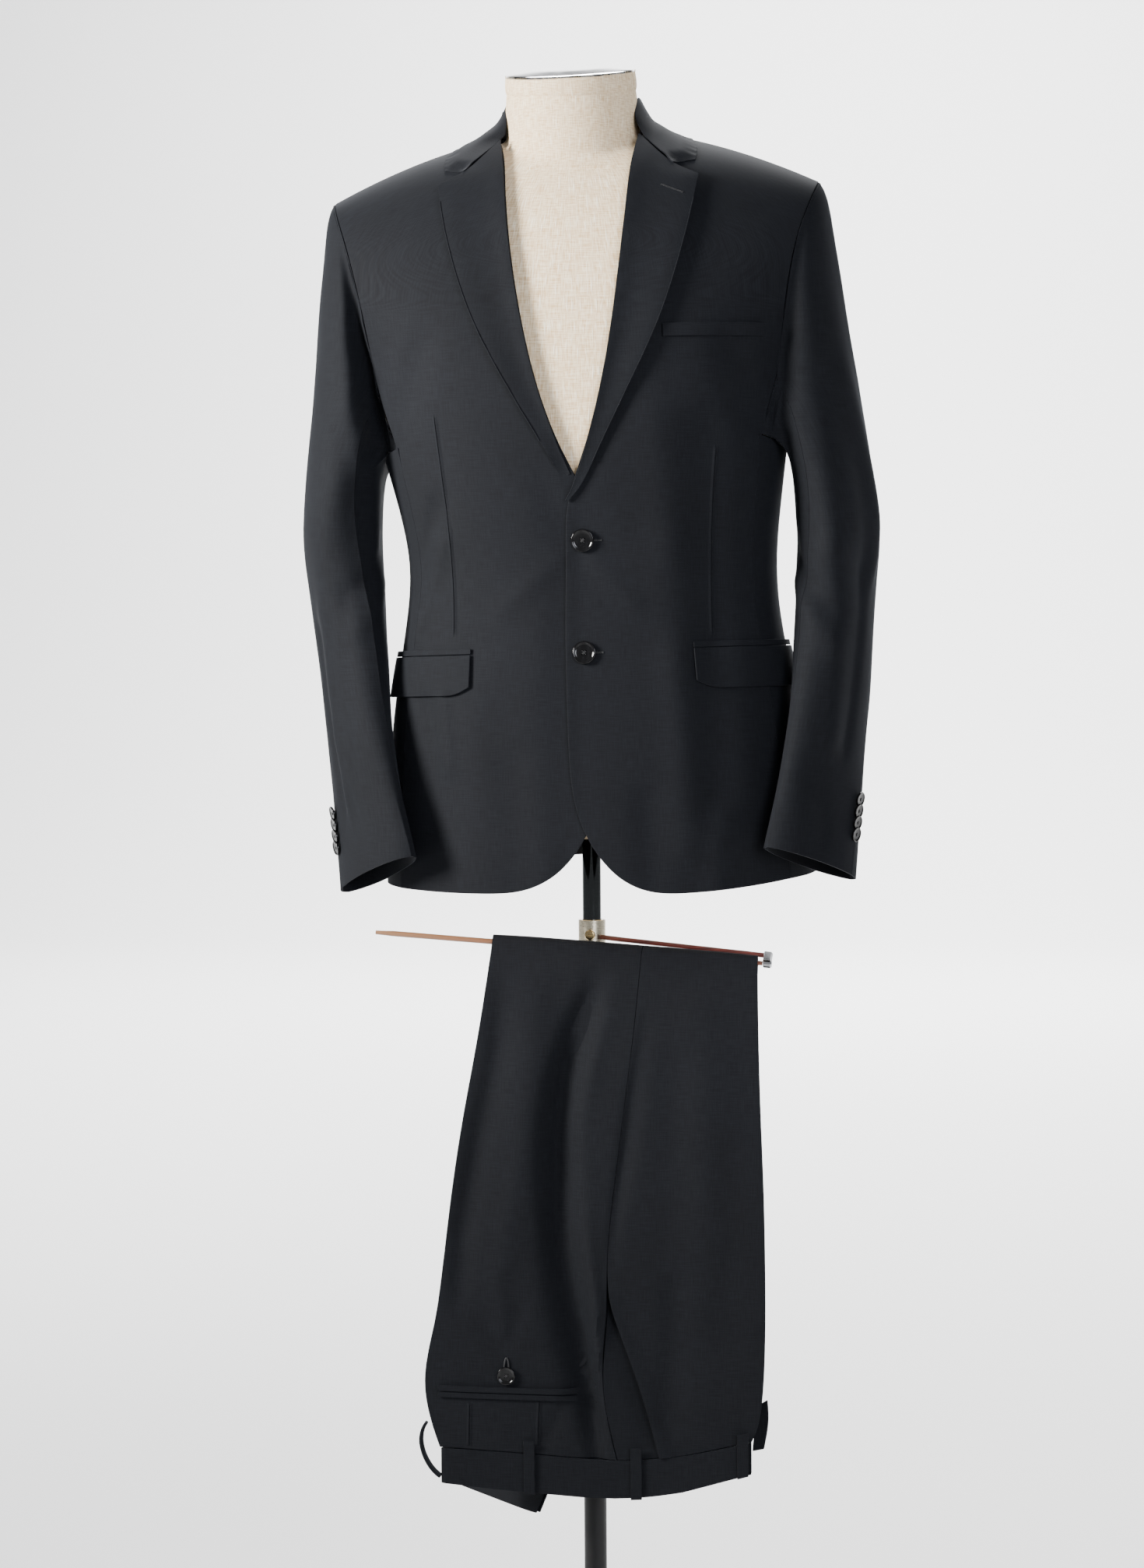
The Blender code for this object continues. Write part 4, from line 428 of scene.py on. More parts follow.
def outer_face(node):
    """The wall's outer face as a bmesh of quads, with its own sharp corners marked.

    Faces that meet at less than the side angle belong together, and the set with the largest area is kept.
    """
    angle = SHARP_SIDE_ANGLE if node.startswith("sleeve_under") else SIDE_ANGLE
    shape = merged(node)
    waiting, best, best_area = set(shape.faces), [], 0.0
    while waiting:
        side = [waiting.pop()]
        for face in side:
            for line in face.edges:
                if len(line.link_faces) == 2 and line.calc_face_angle(0.0) < angle:
                    for other in line.link_faces:
                        if other in waiting:
                            waiting.discard(other)
                            side.append(other)
        area = sum(face.calc_area() for face in side)
        if area > best_area:
            best, best_area = side, area
    keep = set(best)
    bmesh.ops.delete(shape, geom=[face for face in shape.faces if face not in keep], context="FACES")
    join_and_mark(shape)
    return shape


def to_quads(shape, angle):
    """Joins triangles that meet at less than the angle, in degrees."""
    most, lopsided = math.radians(angle), math.radians(100)
    bmesh.ops.join_triangles(
        shape, faces=shape.faces, angle_face_threshold=most, angle_shape_threshold=lopsided
    )


def join_and_mark(shape):
    """Joins the triangles to quads and marks open corners and sharp edges so that smoothing keeps them."""
    to_quads(shape, 44)
    corners = shape.verts.layers.float.new("crease_vert")
    edges = shape.edges.layers.float.new("crease_edge")
    for line in shape.edges:
        if len(line.link_faces) == 2 and line.calc_face_angle(0.0) > SIDE_ANGLE:
            line[edges] = 1.0
    for vertex in shape.verts:
        rim = [line.other_vert(vertex).co - vertex.co for line in vertex.link_edges if line.is_boundary]
        if len(rim) == 2 and math.pi - rim[0].angle(rim[1]) > CORNER_ANGLE:
            vertex[corners] = 1.0


def smoothed(name, shape, levels):
    """The bmesh as a piece, its quads divided `levels` times by subdivision, with nothing left live."""
    mesh = bpy.data.meshes.new(name)
    shape.to_mesh(mesh)
    shape.free()
    rough = bpy.data.objects.new(name + "_rough", mesh)
    bpy.context.scene.collection.objects.link(rough)
    smooth = rough.modifiers.new("smooth", "SUBSURF")
    smooth.levels, smooth.render_levels = levels, levels
    smooth.boundary_smooth = "PRESERVE_CORNERS"
    points, faces = evaluated_arrays(rough)
    bpy.data.objects.remove(rough, do_unlink=True)
    return new_piece(name, points, faces, 60.0)


def wall(piece, thickness, rounding=0.30):
    """Gives a shell its thickness behind its face, and rounds its cut edges."""
    thick = piece.modifiers.new("thickness", "SOLIDIFY")
    thick.thickness, thick.offset, thick.use_rim = thickness, -1.0, True
    if rounding:
        soft = piece.modifiers.new("edge", "BEVEL")
        soft.limit_method, soft.angle_limit = "ANGLE", math.radians(60)
        soft.width, soft.segments = thickness * rounding, 2
        even = piece.modifiers.new("shading", "WEIGHTED_NORMAL")
        even.weight = 80


def creased(points, table, facing, low, high):
    """Offsets for straight creases: depth * exp(-(distance / width)^2), faded over each end's width.

    Distances are measured in the view against `facing` (+-Y); the offset lies along it.
    """
    offsets = np.zeros(len(points))
    x, z = points[:, 0], points[:, 2]
    for x0, z0, x1, z1, width, depth in table:
        length = math.hypot(x1 - x0, z1 - z0)
        along = ((x - x0) * (x1 - x0) + (z - z0) * (z1 - z0)) / length
        across = ((x - x0) * (z1 - z0) - (z - z0) * (x1 - x0)) / length
        past = np.maximum(np.maximum(-along, along - length), 0)
        offsets += depth * np.exp(-((across / width) ** 2) - (past / (1.2 * width)) ** 2)
    return offsets * ease(facing * points[:, 1], low, high)


def uneven(points, size, seed):
    """A slow unevenness from -1 to 1: three sine waves of about `size` in turned directions."""
    x, y, z = points.T
    waves = np.sin((x * 0.9 + y * 0.4 + z * 0.3) * 2 * np.pi / size + seed)
    waves = waves + np.sin((x * 0.5 - y * 0.7 + z * 0.8) * 2 * np.pi / (1.4 * size) + 2.1 * seed)
    return (waves + np.sin((y * 0.8 + z * 0.5 - x * 0.2) * 2 * np.pi / (0.8 * size) + 3.7 * seed)) / 3


def jacket_moved(points):
    """The jacket's body with its creases and a slow unevenness of 0.7 mm; it moves all that lies on it."""
    _, y, z = points.T
    depth = bpy.context.scene.suit_sizes.crease_depth
    front = creased(points, FRONT_CREASES, -1, *BODY_SIDES)
    back = creased(points, BACK_CREASES, 1, *BODY_SIDES)
    slow = 0.0007 * uneven(points, 0.11, 0.6) * ease(np.abs(y), 0.02, 0.06) * ease(1.50 - z, 0, 0.06)
    moved = points.copy()
    moved[:, 1] += depth * (back - front + slow * np.sign(y))
    return moved


def front_moved(points):
    """A front with the body's creases; the upper front's edge stands 1.6 mm off the lower front."""
    x, _, z = points.T
    moved = jacket_moved(points)
    if x.mean() > 0:
        edge = np.exp(-(((x - x.min()) / 0.010) ** 2))
        moved[:, 1] -= FRONT_EDGE_LIFT * edge * ease(1.19 - z, 0, 0.02)
    return moved


def welt_moved(points):
    """The breast welt with the front's creases, sunk into it by 1.3 mm."""
    return jacket_moved(points) + [0, WELT_SINK, 0]


def lapel_moved(points):
    """The lapel with the body's creases; its outer edge stands 3.4 mm off the front, less near the roll.

    The right lapel's foot sinks by as much, because the left front closes over it.
    """
    x, _, z = points.T
    moved = jacket_moved(points)
    levels = np.linspace(z.min(), z.max(), 40)
    reach = np.abs(x)
    near = np.abs(z[:, None] - levels) < 0.006
    inner = np.interp(z, levels, np.where(near, reach[:, None], np.inf).min(axis=0))
    outer = np.interp(z, levels, np.where(near, reach[:, None], 0).max(axis=0))
    share = (reach - inner) / np.maximum(outer - inner, 1e-4)
    lift = LAPEL_LIFT * ease(share, 0.20, 1.0) * ease(outer - inner, 0.012, 0.04) * ease(1.512 - z, 0, 0.02)
    if x.mean() < 0:
        foot = z.min()
        lift = lift * ease(z, foot, foot + 0.08)
        moved[:, 1] += LAPEL_LIFT * (1 - ease(z, foot + 0.004, foot + 0.030))
    moved[:, 1] -= lift
    moved[:, 0] += 0.3 * lift * np.sign(x)
    return moved


def collar_moved(points):
    """The collar's fall lies down on lapels and body at its outer edge, and its front tips hug the neck."""
    x, y, z = points.T
    moved = jacket_moved(points)
    reach = np.abs(x - NECK_X)
    low, high, widest, innermost = 1.520, 1.556, 0.088, 0.082
    tip = ease(z, low, high) * ease(widest - reach, 0, 0.016) * ease(0.030 - y, 0, 0.03)
    moved[:, 0] -= TIP_IN * np.sign(x - NECK_X) * tip
    moved[:, 2] += TIP_UP * tip * ease(innermost - reach, 0, 0.012)
    below = [f"jacket_{part}_{side}_cloth" for part in ("front", "back", "lapel") for side in SIDES]
    under = surface_tree(*[bpy.data.objects[name] for name in below])
    rim = fall_edge(moved)
    gap = np.sqrt(((moved[:, None] - rim[None]) ** 2).sum(axis=-1).min(axis=1))
    return settled(moved, 1 - ease(gap, 0.001, 0.016), under, 0.0010)


def fall_edge(points):
    """The collar's lowest point in each of 120 directions round the neck: its outer edge."""
    angles = np.arctan2(points[:, 0] - NECK_X, -points[:, 1])
    bins = np.linspace(-np.pi, np.pi, 121)
    rim = []
    for low, high in zip(bins, bins[1:]):
        inside = points[(angles >= low) & (angles < high)]
        if len(inside):
            rim.append(inside[np.argmin(inside[:, 2])])
    return np.array(rim)


def collar_map(points):
    """Cloth map of the collar: 90 mm times the angle round the neck, and height less radius down the fall."""
    reach = np.hypot(points[:, 0] - NECK_X, points[:, 1])
    return NECK_RADIUS * np.arctan2(points[:, 0] - NECK_X, -points[:, 1]), points[:, 2] - reach


def body_map(points):
    """Cloth map of a piece round the body: its mean radius times the angle about Z, and its height.

    Above 1.36 m, where the shoulders level out, depth is added to the height.
    """
    centre = points[:, :2].mean(axis=0)
    middle = math.atan2(centre[0], -centre[1])
    angle = np.arctan2(points[:, 0], -points[:, 1]) - middle
    angle = (angle + np.pi) % (2 * np.pi) - np.pi + middle
    level = points[:, 1] * ease(points[:, 2], *SHOULDER) * (1 if centre[1] < 0 else -1)
    return float(np.linalg.norm(points[:, :2], axis=1).mean()) * angle, points[:, 2] + level


def node_points(names):
    """The points of several CAD nodes in one array."""
    return np.concatenate([vertex_points(NODES[name]) for name in names])


def arm_axis(side):
    """The sleeve's middle line: x and y as cubics of height, fitted to the two sleeve solids."""
    points = node_points([f"sleeve_top_{side}", f"sleeve_under_{side}"])
    points = points[points[:, 2] < ARM_TOP]
    bins = np.linspace(points[:, 2].min(), ARM_TOP, 12)
    rows = []
    for low, high in zip(bins, bins[1:]):
        level = points[(points[:, 2] >= low - 0.02) & (points[:, 2] < high + 0.02)]
        middle = 0.5 * (level.min(axis=0) + level.max(axis=0))
        rows.append((0.5 * (low + high), middle[0], middle[1]))
    rows = np.array(rows)
    return np.polyfit(rows[:, 0], rows[:, 1], 3), np.polyfit(rows[:, 0], rows[:, 2], 3)


AXES = {side: arm_axis(side) for side in SIDES}


def arm_coordinates(points, side):
    """Degrees round the sleeve's middle line, from its outside towards the front, and directions out."""
    at = np.minimum(points[:, 2], ARM_TOP)
    fit_x, fit_y = AXES[side]
    out = points[:, :2] - np.stack([np.polyval(fit_x, at), np.polyval(fit_y, at)], axis=-1)
    sign = 1 if side == "left" else -1
    angles = np.degrees(np.arctan2(-out[:, 1], sign * out[:, 0]))
    directions = np.concatenate([unit(out), np.zeros((len(points), 1))], axis=1)
    return angles, directions


def beside_line(points, rows):
    """For each point, seen from the front: its distance from a line, which side of it, and the nearest row.

    Rows begin with x and z; what follows them is read off at the nearest place on the line.
    """
    rows = np.asarray(rows, float)
    nearest = np.full(len(points), np.inf)
    found = np.zeros((len(points), rows.shape[1] - 2))
    right = np.zeros(len(points), bool)
    for first, second in zip(rows, rows[1:]):
        step = second[:2] - first[:2]
        offset = points[:, [0, 2]] - first[:2]
        share = np.clip(offset @ step / (step @ step), 0, 1)
        apart = offset - share[:, None] * step
        distance = np.linalg.norm(apart, axis=1)
        closer = distance < nearest
        nearest[closer] = distance[closer]
        right[closer] = apart[closer, 0] > 0
        found[closer] = first[2:] + share[closer, None] * (second[2:] - first[2:])
    return nearest, right, found


def folded(points, folds):
    """Offsets of long folds: depth * exp(-(distance / width)^2), with a width for each side of the line."""
    offsets = np.zeros(len(points))
    for rows in folds:
        distance, right, found = beside_line(points, rows)
        width = np.where(right, found[:, 1], found[:, 0])
        offsets += found[:, 2] * np.exp(-((distance / width) ** 2))
    return offsets


def settled(points, weight, tree, height):
    """Points drawn, by their weight, to `height` above the nearest face of the tree."""
    moved = points.copy()
    for i in np.flatnonzero(weight > 0.01):
        hit, normal, _, distance = tree.find_nearest(Vector(points[i]))
        if hit is not None and distance < MAX_SETTLE:
            goal = np.array(hit + height * normal)
            moved[i] += weight[i] * (goal - points[i])
    return moved


def sleeve_moved(points, side):
    """The sleeve with its creases: depth * exp(-(distance / width)^2), measured round and along the arm.

    The right sleeve's inner front corner stands out by CORNER_OUT * exp(-(turn / CORNER_SPREAD)^2), so that
    its front lies flat.
    """
    z = points[:, 2]
    angles, directions = arm_coordinates(points, side)
    offsets = 0.0006 * uneven(points, 0.09, 1.7)
    for which, angle0, z0, angle1, z1, width, depth in SLEEVE_CREASES:
        if (which > 0) != (side == "left"):
            continue
        rise = z1 - z0
        share = np.clip((z - z0) / rise, 0, 1)
        swing = np.radians(angles - (angle0 + (angle1 - angle0) * share))
        swing = (swing + np.pi) % (2 * np.pi) - np.pi
        across = swing * ARM_RADIUS
        slope = math.radians(angle1 - angle0) * ARM_RADIUS / rise
        across = across / math.sqrt(1 + slope * slope)
        past = np.maximum(np.maximum(z - max(z0, z1), min(z0, z1) - z), 0)
        offsets += depth * np.exp(-((across / width) ** 2) - (past / (1.5 * width)) ** 2)
    cuff = min(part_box(f"sleeve_top_{side}")[0].z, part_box(f"sleeve_under_{side}")[0].z)
    offsets = offsets * ease(z, cuff, cuff + 0.05) * ease(ARMHOLE_TOP - z, 0, 0.06)
    offsets = offsets * bpy.context.scene.suit_sizes.crease_depth
    moved = points + directions * offsets[:, None]
    if side == "right":
        turn = np.where(angles < -90, angles + 360, angles) - CORNER_TURN
        flat = np.exp(-((turn / CORNER_SPREAD) ** 2))
        flat = flat * ease(z, cuff + 0.005, cuff + 0.06) * ease(1.31 - z, 0, 0.12)
        moved += np.outer(flat, CORNER_OUT)
    return moved


def armhole_ring(side):
    """Points on a smooth closed line where the sleeve's solids meet the body's."""
    sleeve = node_points([f"sleeve_top_{side}", f"sleeve_under_{side}"])
    body = node_points([f"jacket_{part}_{side}" for part in ("front", "side", "back")])
    gaps = np.linalg.norm(sleeve[:, None] - body[None], axis=-1).min(axis=1)
    ring = sleeve[gaps < 0.0025]
    middle = 0.5 * (ring.min(axis=0) + ring.max(axis=0))
    angles = np.arctan2(ring[:, 2] - middle[2], ring[:, 1] - middle[1])
    order = np.argsort(angles)
    steps, around, ring = round_angles(240), angles[order], ring[order]
    line = np.stack([np.interp(steps, around, ring[:, i], period=2 * np.pi) for i in range(3)], axis=-1)
    return np.mean([np.roll(line, shift, axis=0) for shift in range(-4, 5)], axis=0)


def sleeve_tucked(points, side):
    """Beside the front of the armhole the sleeve sinks into a trough, and rounds forward beyond it.

    The trough is depth * exp(-((distance - middle) / width)^2), the distance being that from the armhole.
    From the armhole's top to its foot it grows from 6 to 21 mm deep and from 5 to 9 mm wide. The left sleeve
    moves 0.3 as much.
    """
    z = points[:, 2]
    angles, _ = arm_coordinates(points, side)
    front = ease(angles, 46, 84) * ease(176 - angles, 0, 20)
    front = front * ease(z, 1.195, 1.245) * ease(1.495 - z, 0, 0.07)
    down = ease(ARMHOLE_TOP - z, 0, 0.19)
    apart = np.full(len(points), np.inf)
    for place in armhole_ring(side):
        apart = np.minimum(apart, np.linalg.norm(points - place, axis=1))
    middle, width = 0.006 + 0.003 * down, 0.005 + 0.004 * down
    trough = np.exp(-(((apart - middle) / width) ** 2)) * ease(apart, 0.0, 0.004)
    bulge_middle, bulge_width = 0.030, 0.014
    bulge = np.exp(-(((apart - bulge_middle) / bulge_width) ** 2))
    depth, height = 0.006 + 0.015 * down, 0.003 + 0.004 * down
    moved = points.copy()
    share = 1.0 if side == "right" else 0.3
    moved[:, 1] += share * front * (depth * trough - height * bulge)
    return moved


def sleeve_map(points, side):
    """Cloth map of a sleeve: its map radius times the angle round the arm, and its height."""
    angles, _ = arm_coordinates(points, side)
    return np.radians(angles) * ARM_MAP_RADIUS, points[:, 2]


def trouser_moved(points):
    """The trousers' near side with its folds and a slow unevenness of 1 mm, both fading out at the bar."""
    depth = bpy.context.scene.suit_sizes.crease_depth
    near = ease(-points[:, 1], *NEAR_SIDE) * ease(FOLD_TOP - points[:, 2], 0, 0.02)
    fronts = folded(points, TROUSER_FOLDS)
    slow = 0.0010 * uneven(points, 0.13, 2.9)
    moved = points.copy()
    moved[:, 1] -= depth * (fronts + slow) * near
    return moved


def front_panel_moved(points):
    """The front panel's slanted edge stands 2.4 mm off the pocket's facing."""
    moved = trouser_moved(points)
    distance, _, _ = beside_line(points, SLANT_EDGE)
    moved[:, 1] -= SLANT_LIFT * np.exp(-((distance / 0.010) ** 2)) * ease(FOLD_TOP - points[:, 2], 0, 0.02)
    return moved


def back_jet_moved(points):
    """A back pocket jet with the panel's folds, 1.4 mm proud of it."""
    return trouser_moved(points) - [0, BACK_JET_LIFT, 0]


def facing_moved(points):
    """The facing and what lies under it sink 5 mm towards the slanted edge."""
    moved = trouser_moved(points)
    distance, _, _ = beside_line(points, SLANT_EDGE)
    _, y, z = points.T
    sunk = np.exp(-((distance / 0.014) ** 2)) * ease(-y, *NEAR_SIDE) * ease(z, 0.262, 0.30)
    moved[:, 1] += FACING_SINK * sunk
    return moved


def as_cut(points):
    """Small pieces keep their solid's shape."""
    return points


def trouser_map(points):
    """Cloth map of the trousers: x * cos(turn) - y * sin(turn), and height.

    The turn grows to 52 degrees down the far half, which twists as it hangs.
    """
    turn = np.radians(np.clip((0.705 - points[:, 2]) / 0.497, 0, 1) * 52) * ease(points[:, 1], -0.05, -0.03)
    return points[:, 0] * np.cos(turn) - points[:, 1] * np.sin(turn), points[:, 2]


def cut_size(across, along, area):
    """Width and length of the smallest upright or slanting rectangle round the cut, never under its area."""
    spread = np.stack([across - across.mean(), along - along.mean()], axis=-1)
    _, axes = np.linalg.eigh(spread.T @ spread)
    slanting = spread @ axes
    sizes = min((np.ptp(spread, axis=0), np.ptp(slanting, axis=0)), key=np.prod)
    scale = math.sqrt(max(area / np.prod(sizes) / 0.98, 1.0))
    return max(float(sizes[0]) * scale, 0.01), max(float(sizes[1]) * scale, 0.01)


def cloth_shell(node, body, levels, thickness, moved, mapped, held=None, rests_on=()):
    """A cloth piece: the solid's outer face smoothed, moved by its creases, mapped and thickened.

    Where it is said how it is held, the size of its cut is worked out.
    """
    piece = smoothed(node + "_cloth", outer_face(node), levels)
    points = vertex_points(piece)
    across, along = mapped(points)
    move_to(piece, moved(points))
    piece.data.update()
    set_cloth_map(piece, across, along)
    area = cloth_area(piece)
    wall(piece, thickness)
    finish(piece, suiting(), body, (node,))
    if held:
        cut_size(across, along, area)
        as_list(rests_on)
    return piece


def cloth_area(piece):
    """Area of the piece's one layer, before it has its thickness."""
    return sum(face.area for face in piece.data.polygons)


def surface_tree(*pieces):
    """A search tree over the pieces' outer faces."""
    points, faces, start = [], [], 0
    for piece in pieces:
        co = vertex_points(piece)
        points += [Vector(p) for p in co]
        faces += [[start + v for v in face.vertices] for face in piece.data.polygons]
        start += len(co)
    return BVHTree.FromPolygons(points, faces)


def on_surface(tree, xs, zs, facing=-1):
    """Points and normals where lines along Y through each (x, z) meet the surface from outside."""
    points, normals = [], []
    for x, z in zip(xs, zs):
        hit, normal, _, _ = tree.ray_cast(Vector((x, facing * 0.6, z)), Vector((0, -facing, 0)))
        if hit is None:
            hit, normal, _, _ = tree.find_nearest(Vector((x, facing * 0.10, z)))
        if normal.y * facing < 0:
            normal = -normal
        points.append(hit)
        normals.append(normal)
    return np.array(points, float), np.array(normals, float)


def along_line(line, count):
    """Evenly spaced points on a smooth curve through a few points, by a polynomial in its length."""
    line = np.asarray(line, float)
    reach = np.concatenate([[0], np.cumsum(np.linalg.norm(np.diff(line, axis=0), axis=1))])
    at = np.linspace(0, reach[-1], count)
    degree = min(3, len(line) - 1)
    return np.stack([np.polyval(np.polyfit(reach, line[:, i], degree), at) for i in range(2)], axis=-1)


# ---------------------------------------------------------------- materials
# Sockets by number. MapRange: 0 the value, 1 and 2 its range, 3 and 4 the range it becomes. Mix: 0 the share,
# 6 and 7 the colours at 0 and 1, and output 2 the mixed colour. TexNoise gives its value at output 0, TexWave
# at 1, and VectorMath a length at 1.
def set_sockets(tree, made, sockets):
    """Links each socket given as (node, output), and puts any other value on its socket."""
    for key, value in sockets.items():
        if isinstance(value, tuple) and isinstance(value[0], bpy.types.Node):
            tree.links.new(value[0].outputs[value[1]], made.inputs[key])
        else:
            made.inputs[key].default_value = value


def blank(name):
    """A new material's two helpers: `add` makes a node with its sockets and settings, and `done` sets the
    shader's sockets and gives the material back."""
    material = bpy.data.materials.new(name)
    material.use_nodes = True
    tree = material.node_tree

    def add(kind, sockets=None, **settings):
        made = tree.nodes.new("ShaderNode" + kind)
        for key, value in settings.items():
            setattr(made, key, value)
        set_sockets(tree, made, sockets or {})
        return made

    def done(sockets):
        set_sockets(tree, tree.nodes["Principled BSDF"], sockets)
        return material

    return add, done


def crossed_threads(add, place, fine, long, detail):
    """Warp and weft that differ thread by thread: two noises, `fine` across and `long` along the threads."""
    crossing = []
    for scale in ((fine, long, 1.0), (long, fine, 1.0)):
        drawn = add("Mapping", {"Vector": (place, 0), "Scale": scale})
        noise = add("TexNoise", {"Vector": (drawn, 0), "Scale": 1.0, "Detail": detail}, noise_dimensions="2D")
        crossing.append((noise, 0))
    return add("Math", {0: crossing[0], 1: crossing[1]}, operation="ADD")


def wool_suiting(name, base, lit):
    """Worsted wool twill, piece-dyed charcoal and pressed: matt, with a faint bloom of fibre ends at grazing
    angles, a fine diagonal rib and threads that differ slightly in shade.

    Threads are drawn 0.7 mm apart and 17 mm long, coarser than real ones, so that they show.
    """
    pitch = bpy.context.scene.suit_sizes.twill_pitch * 1000
    add, done = blank(name)
    place = add("UVMap", uv_map="cloth")
    millimetres = add("Mapping", {"Vector": (place, 0), "Scale": (1000.0, 1000.0, 1.0)})
    waves = {"Scale": 0.314 / pitch, "Distortion": 1.2, "Detail": 1.0, "Detail Scale": 1.5}
    rib = add("TexWave", {"Vector": (millimetres, 0), **waves}, bands_direction="DIAGONAL")
    threads = crossed_threads(add, place, 1400.0, 60.0, 2.0)
    spread = add("MapRange", {0: (threads, 0), 1: 0.72, 2: 1.28, 3: 0.0, 4: 1.0})
    colour = add("Mix", {0: (spread, 0), 6: opaque(base), 7: opaque(lit)}, data_type="RGBA")
    body = add("TexCoord")
    cloud = add("TexNoise", {"Vector": (body, "Object"), "Scale": 9.0, "Detail": 3.0, "Roughness": 0.55})
    shade = add("MapRange", {0: (cloud, 0), 1: 0.30, 2: 0.70, 3: 0.90, 4: 1.10})
    shaded = add("VectorMath", {0: (colour, 2), 3: (shade, 0)}, operation="SCALE")
    rough = add("MapRange", {0: (rib, 1), 1: 0.0, 2: 1.0, 3: 0.81, 4: 0.84})
    relief = add("Math", {0: (rib, 1), 1: 0.45, 2: (threads, 0)}, operation="MULTIPLY_ADD")
    bump = add("Bump", {"Height": (relief, 0), "Strength": 0.20, "Distance": 0.00012})
    return done({
        "Base Color": (shaded, 0), "Roughness": (rough, 0), "Normal": (bump, 0), "IOR": 1.54,
        "Specular IOR Level": 0.12, "Sheen Weight": 0.05, "Sheen Roughness": 0.45,
        "Sheen Tint": opaque(linear("#9aa3b4")),
    })


def natural_linen(name):
    """Unbleached plain-weave linen over a padded form: uneven threads with thicker slubs, dry and matt.

    Threads are drawn 1 mm apart, coarser than real ones, so that they show; slubs are 1.4 by 20 mm.
    """
    add, done = blank(name)
    place = add("UVMap", uv_map="cloth")
    threads = crossed_threads(add, place, 1000.0, 90.0, 2.5)
    drawn = add("Mapping", {"Vector": (place, 0), "Scale": (700.0, 50.0, 1.0)})
    slub = add("TexNoise", {"Vector": (drawn, 0), "Scale": 1.0, "Detail": 1.0}, noise_dimensions="2D")
    slubs = add("MapRange", {0: (slub, 0), 1: 0.62, 2: 0.78, 3: 0.0, 4: 0.7})
    tone = add("MapRange", {0: (threads, 0), 1: 0.70, 2: 1.30, 3: 0.0, 4: 1.0})
    flax, bleached, slub_tone = (opaque(linear(code)) for code in ("#d0b085", "#f6e4c4", "#fff6e2"))
    cloth = add("Mix", {0: (tone, 0), 6: flax, 7: bleached}, data_type="RGBA")
    colour = add("Mix", {0: (slubs, 0), 6: (cloth, 2), 7: slub_tone}, data_type="RGBA")
    relief = add("Math", {0: (threads, 0), 1: (slubs, 0)}, operation="ADD")
    bump = add("Bump", {"Height": (relief, 0), "Strength": 0.5, "Distance": 0.0004})
    return done({
        "Base Color": (colour, 2), "Normal": (bump, 0), "Roughness": 0.92, "Specular IOR Level": 0.25,
        "Sheen Weight": 0.15, "Sheen Tint": opaque(linear("#e8dcc4")),
    })


def polished_metal(name, colour, roughness, scratch):
    """Plated steel, polished: a mirror with faint turned or wiped scratches that spread its highlights.

    The scratches are drawn 1.1 mm apart in height, coarser than real ones, so that they show.
    """
    add, done = blank(name)
    place = add("TexCoord")
    lines = add("Mapping", {"Vector": (place, "Object"), "Scale": (60.0, 60.0, 900.0)})
    noise = add("TexNoise", {"Vector": (lines, 0), "Scale": 1.0, "Detail": 3.0})
    rough = add("MapRange", {0: (noise, 0), 1: 0.3, 2: 0.7, 3: roughness, 4: roughness + scratch})
    return done({"Base Color": opaque(colour), "Roughness": (rough, 0), "Metallic": 1.0})


def smoked_chrome(name):
    """Chrome on pressed steel: mirror bright on top, and round its rim painted dark in long patches, a
    painted reflection of dark surroundings.

    Noise gives patches 29 mm wide and 7 mm high, which come in from 0.93 to 0.965 of the cap's reach.
    """
    add, done = blank(name)
    place = add("TexCoord")
    drawn = add("Mapping", {"Vector": (place, "Object"), "Scale": (34.0, 34.0, 150.0)})
    streak_noise = add("TexNoise", {"Vector": (drawn, 0), "Scale": 1.0, "Detail": 2.0})
    patches = add("MapRange", {0: (streak_noise, 0), 1: 0.44, 2: 0.56, 3: 0.0, 4: 1.0})
    low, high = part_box("neck_cap")
    middle, half = 0.5 * (low + high), 0.5 * (high - low)
    centred = {
        "Vector": (place, "Object"),
        "Location": (-middle.x / half.x, -middle.y / half.y, 0.0),
        "Scale": (1 / half.x, 1 / half.y, 0.0),
    }
    level = add("Mapping", centred)
    reach = add("VectorMath", {0: (level, 0)}, operation="LENGTH")
    inside = add("MapRange", {0: (reach, 1), 1: 0.93, 2: 0.965, 3: 1.0, 4: 0.0})
    bright = add("Math", {0: (patches, 0), 1: (inside, 0)}, operation="MAXIMUM")
    # painted reflection: the dark colour stands for dark surroundings mirrored round the rim; the light one
    # is the chrome's own
    painted_dark_reflection, mirror = opaque(linear("#2b2b2e")), opaque(linear("#dcdde0"))
    colour = add("Mix", {0: (bright, 0), 6: painted_dark_reflection, 7: mirror}, data_type="RGBA")
    return done({"Base Color": (colour, 2), "Metallic": 1.0, "Roughness": 0.07})


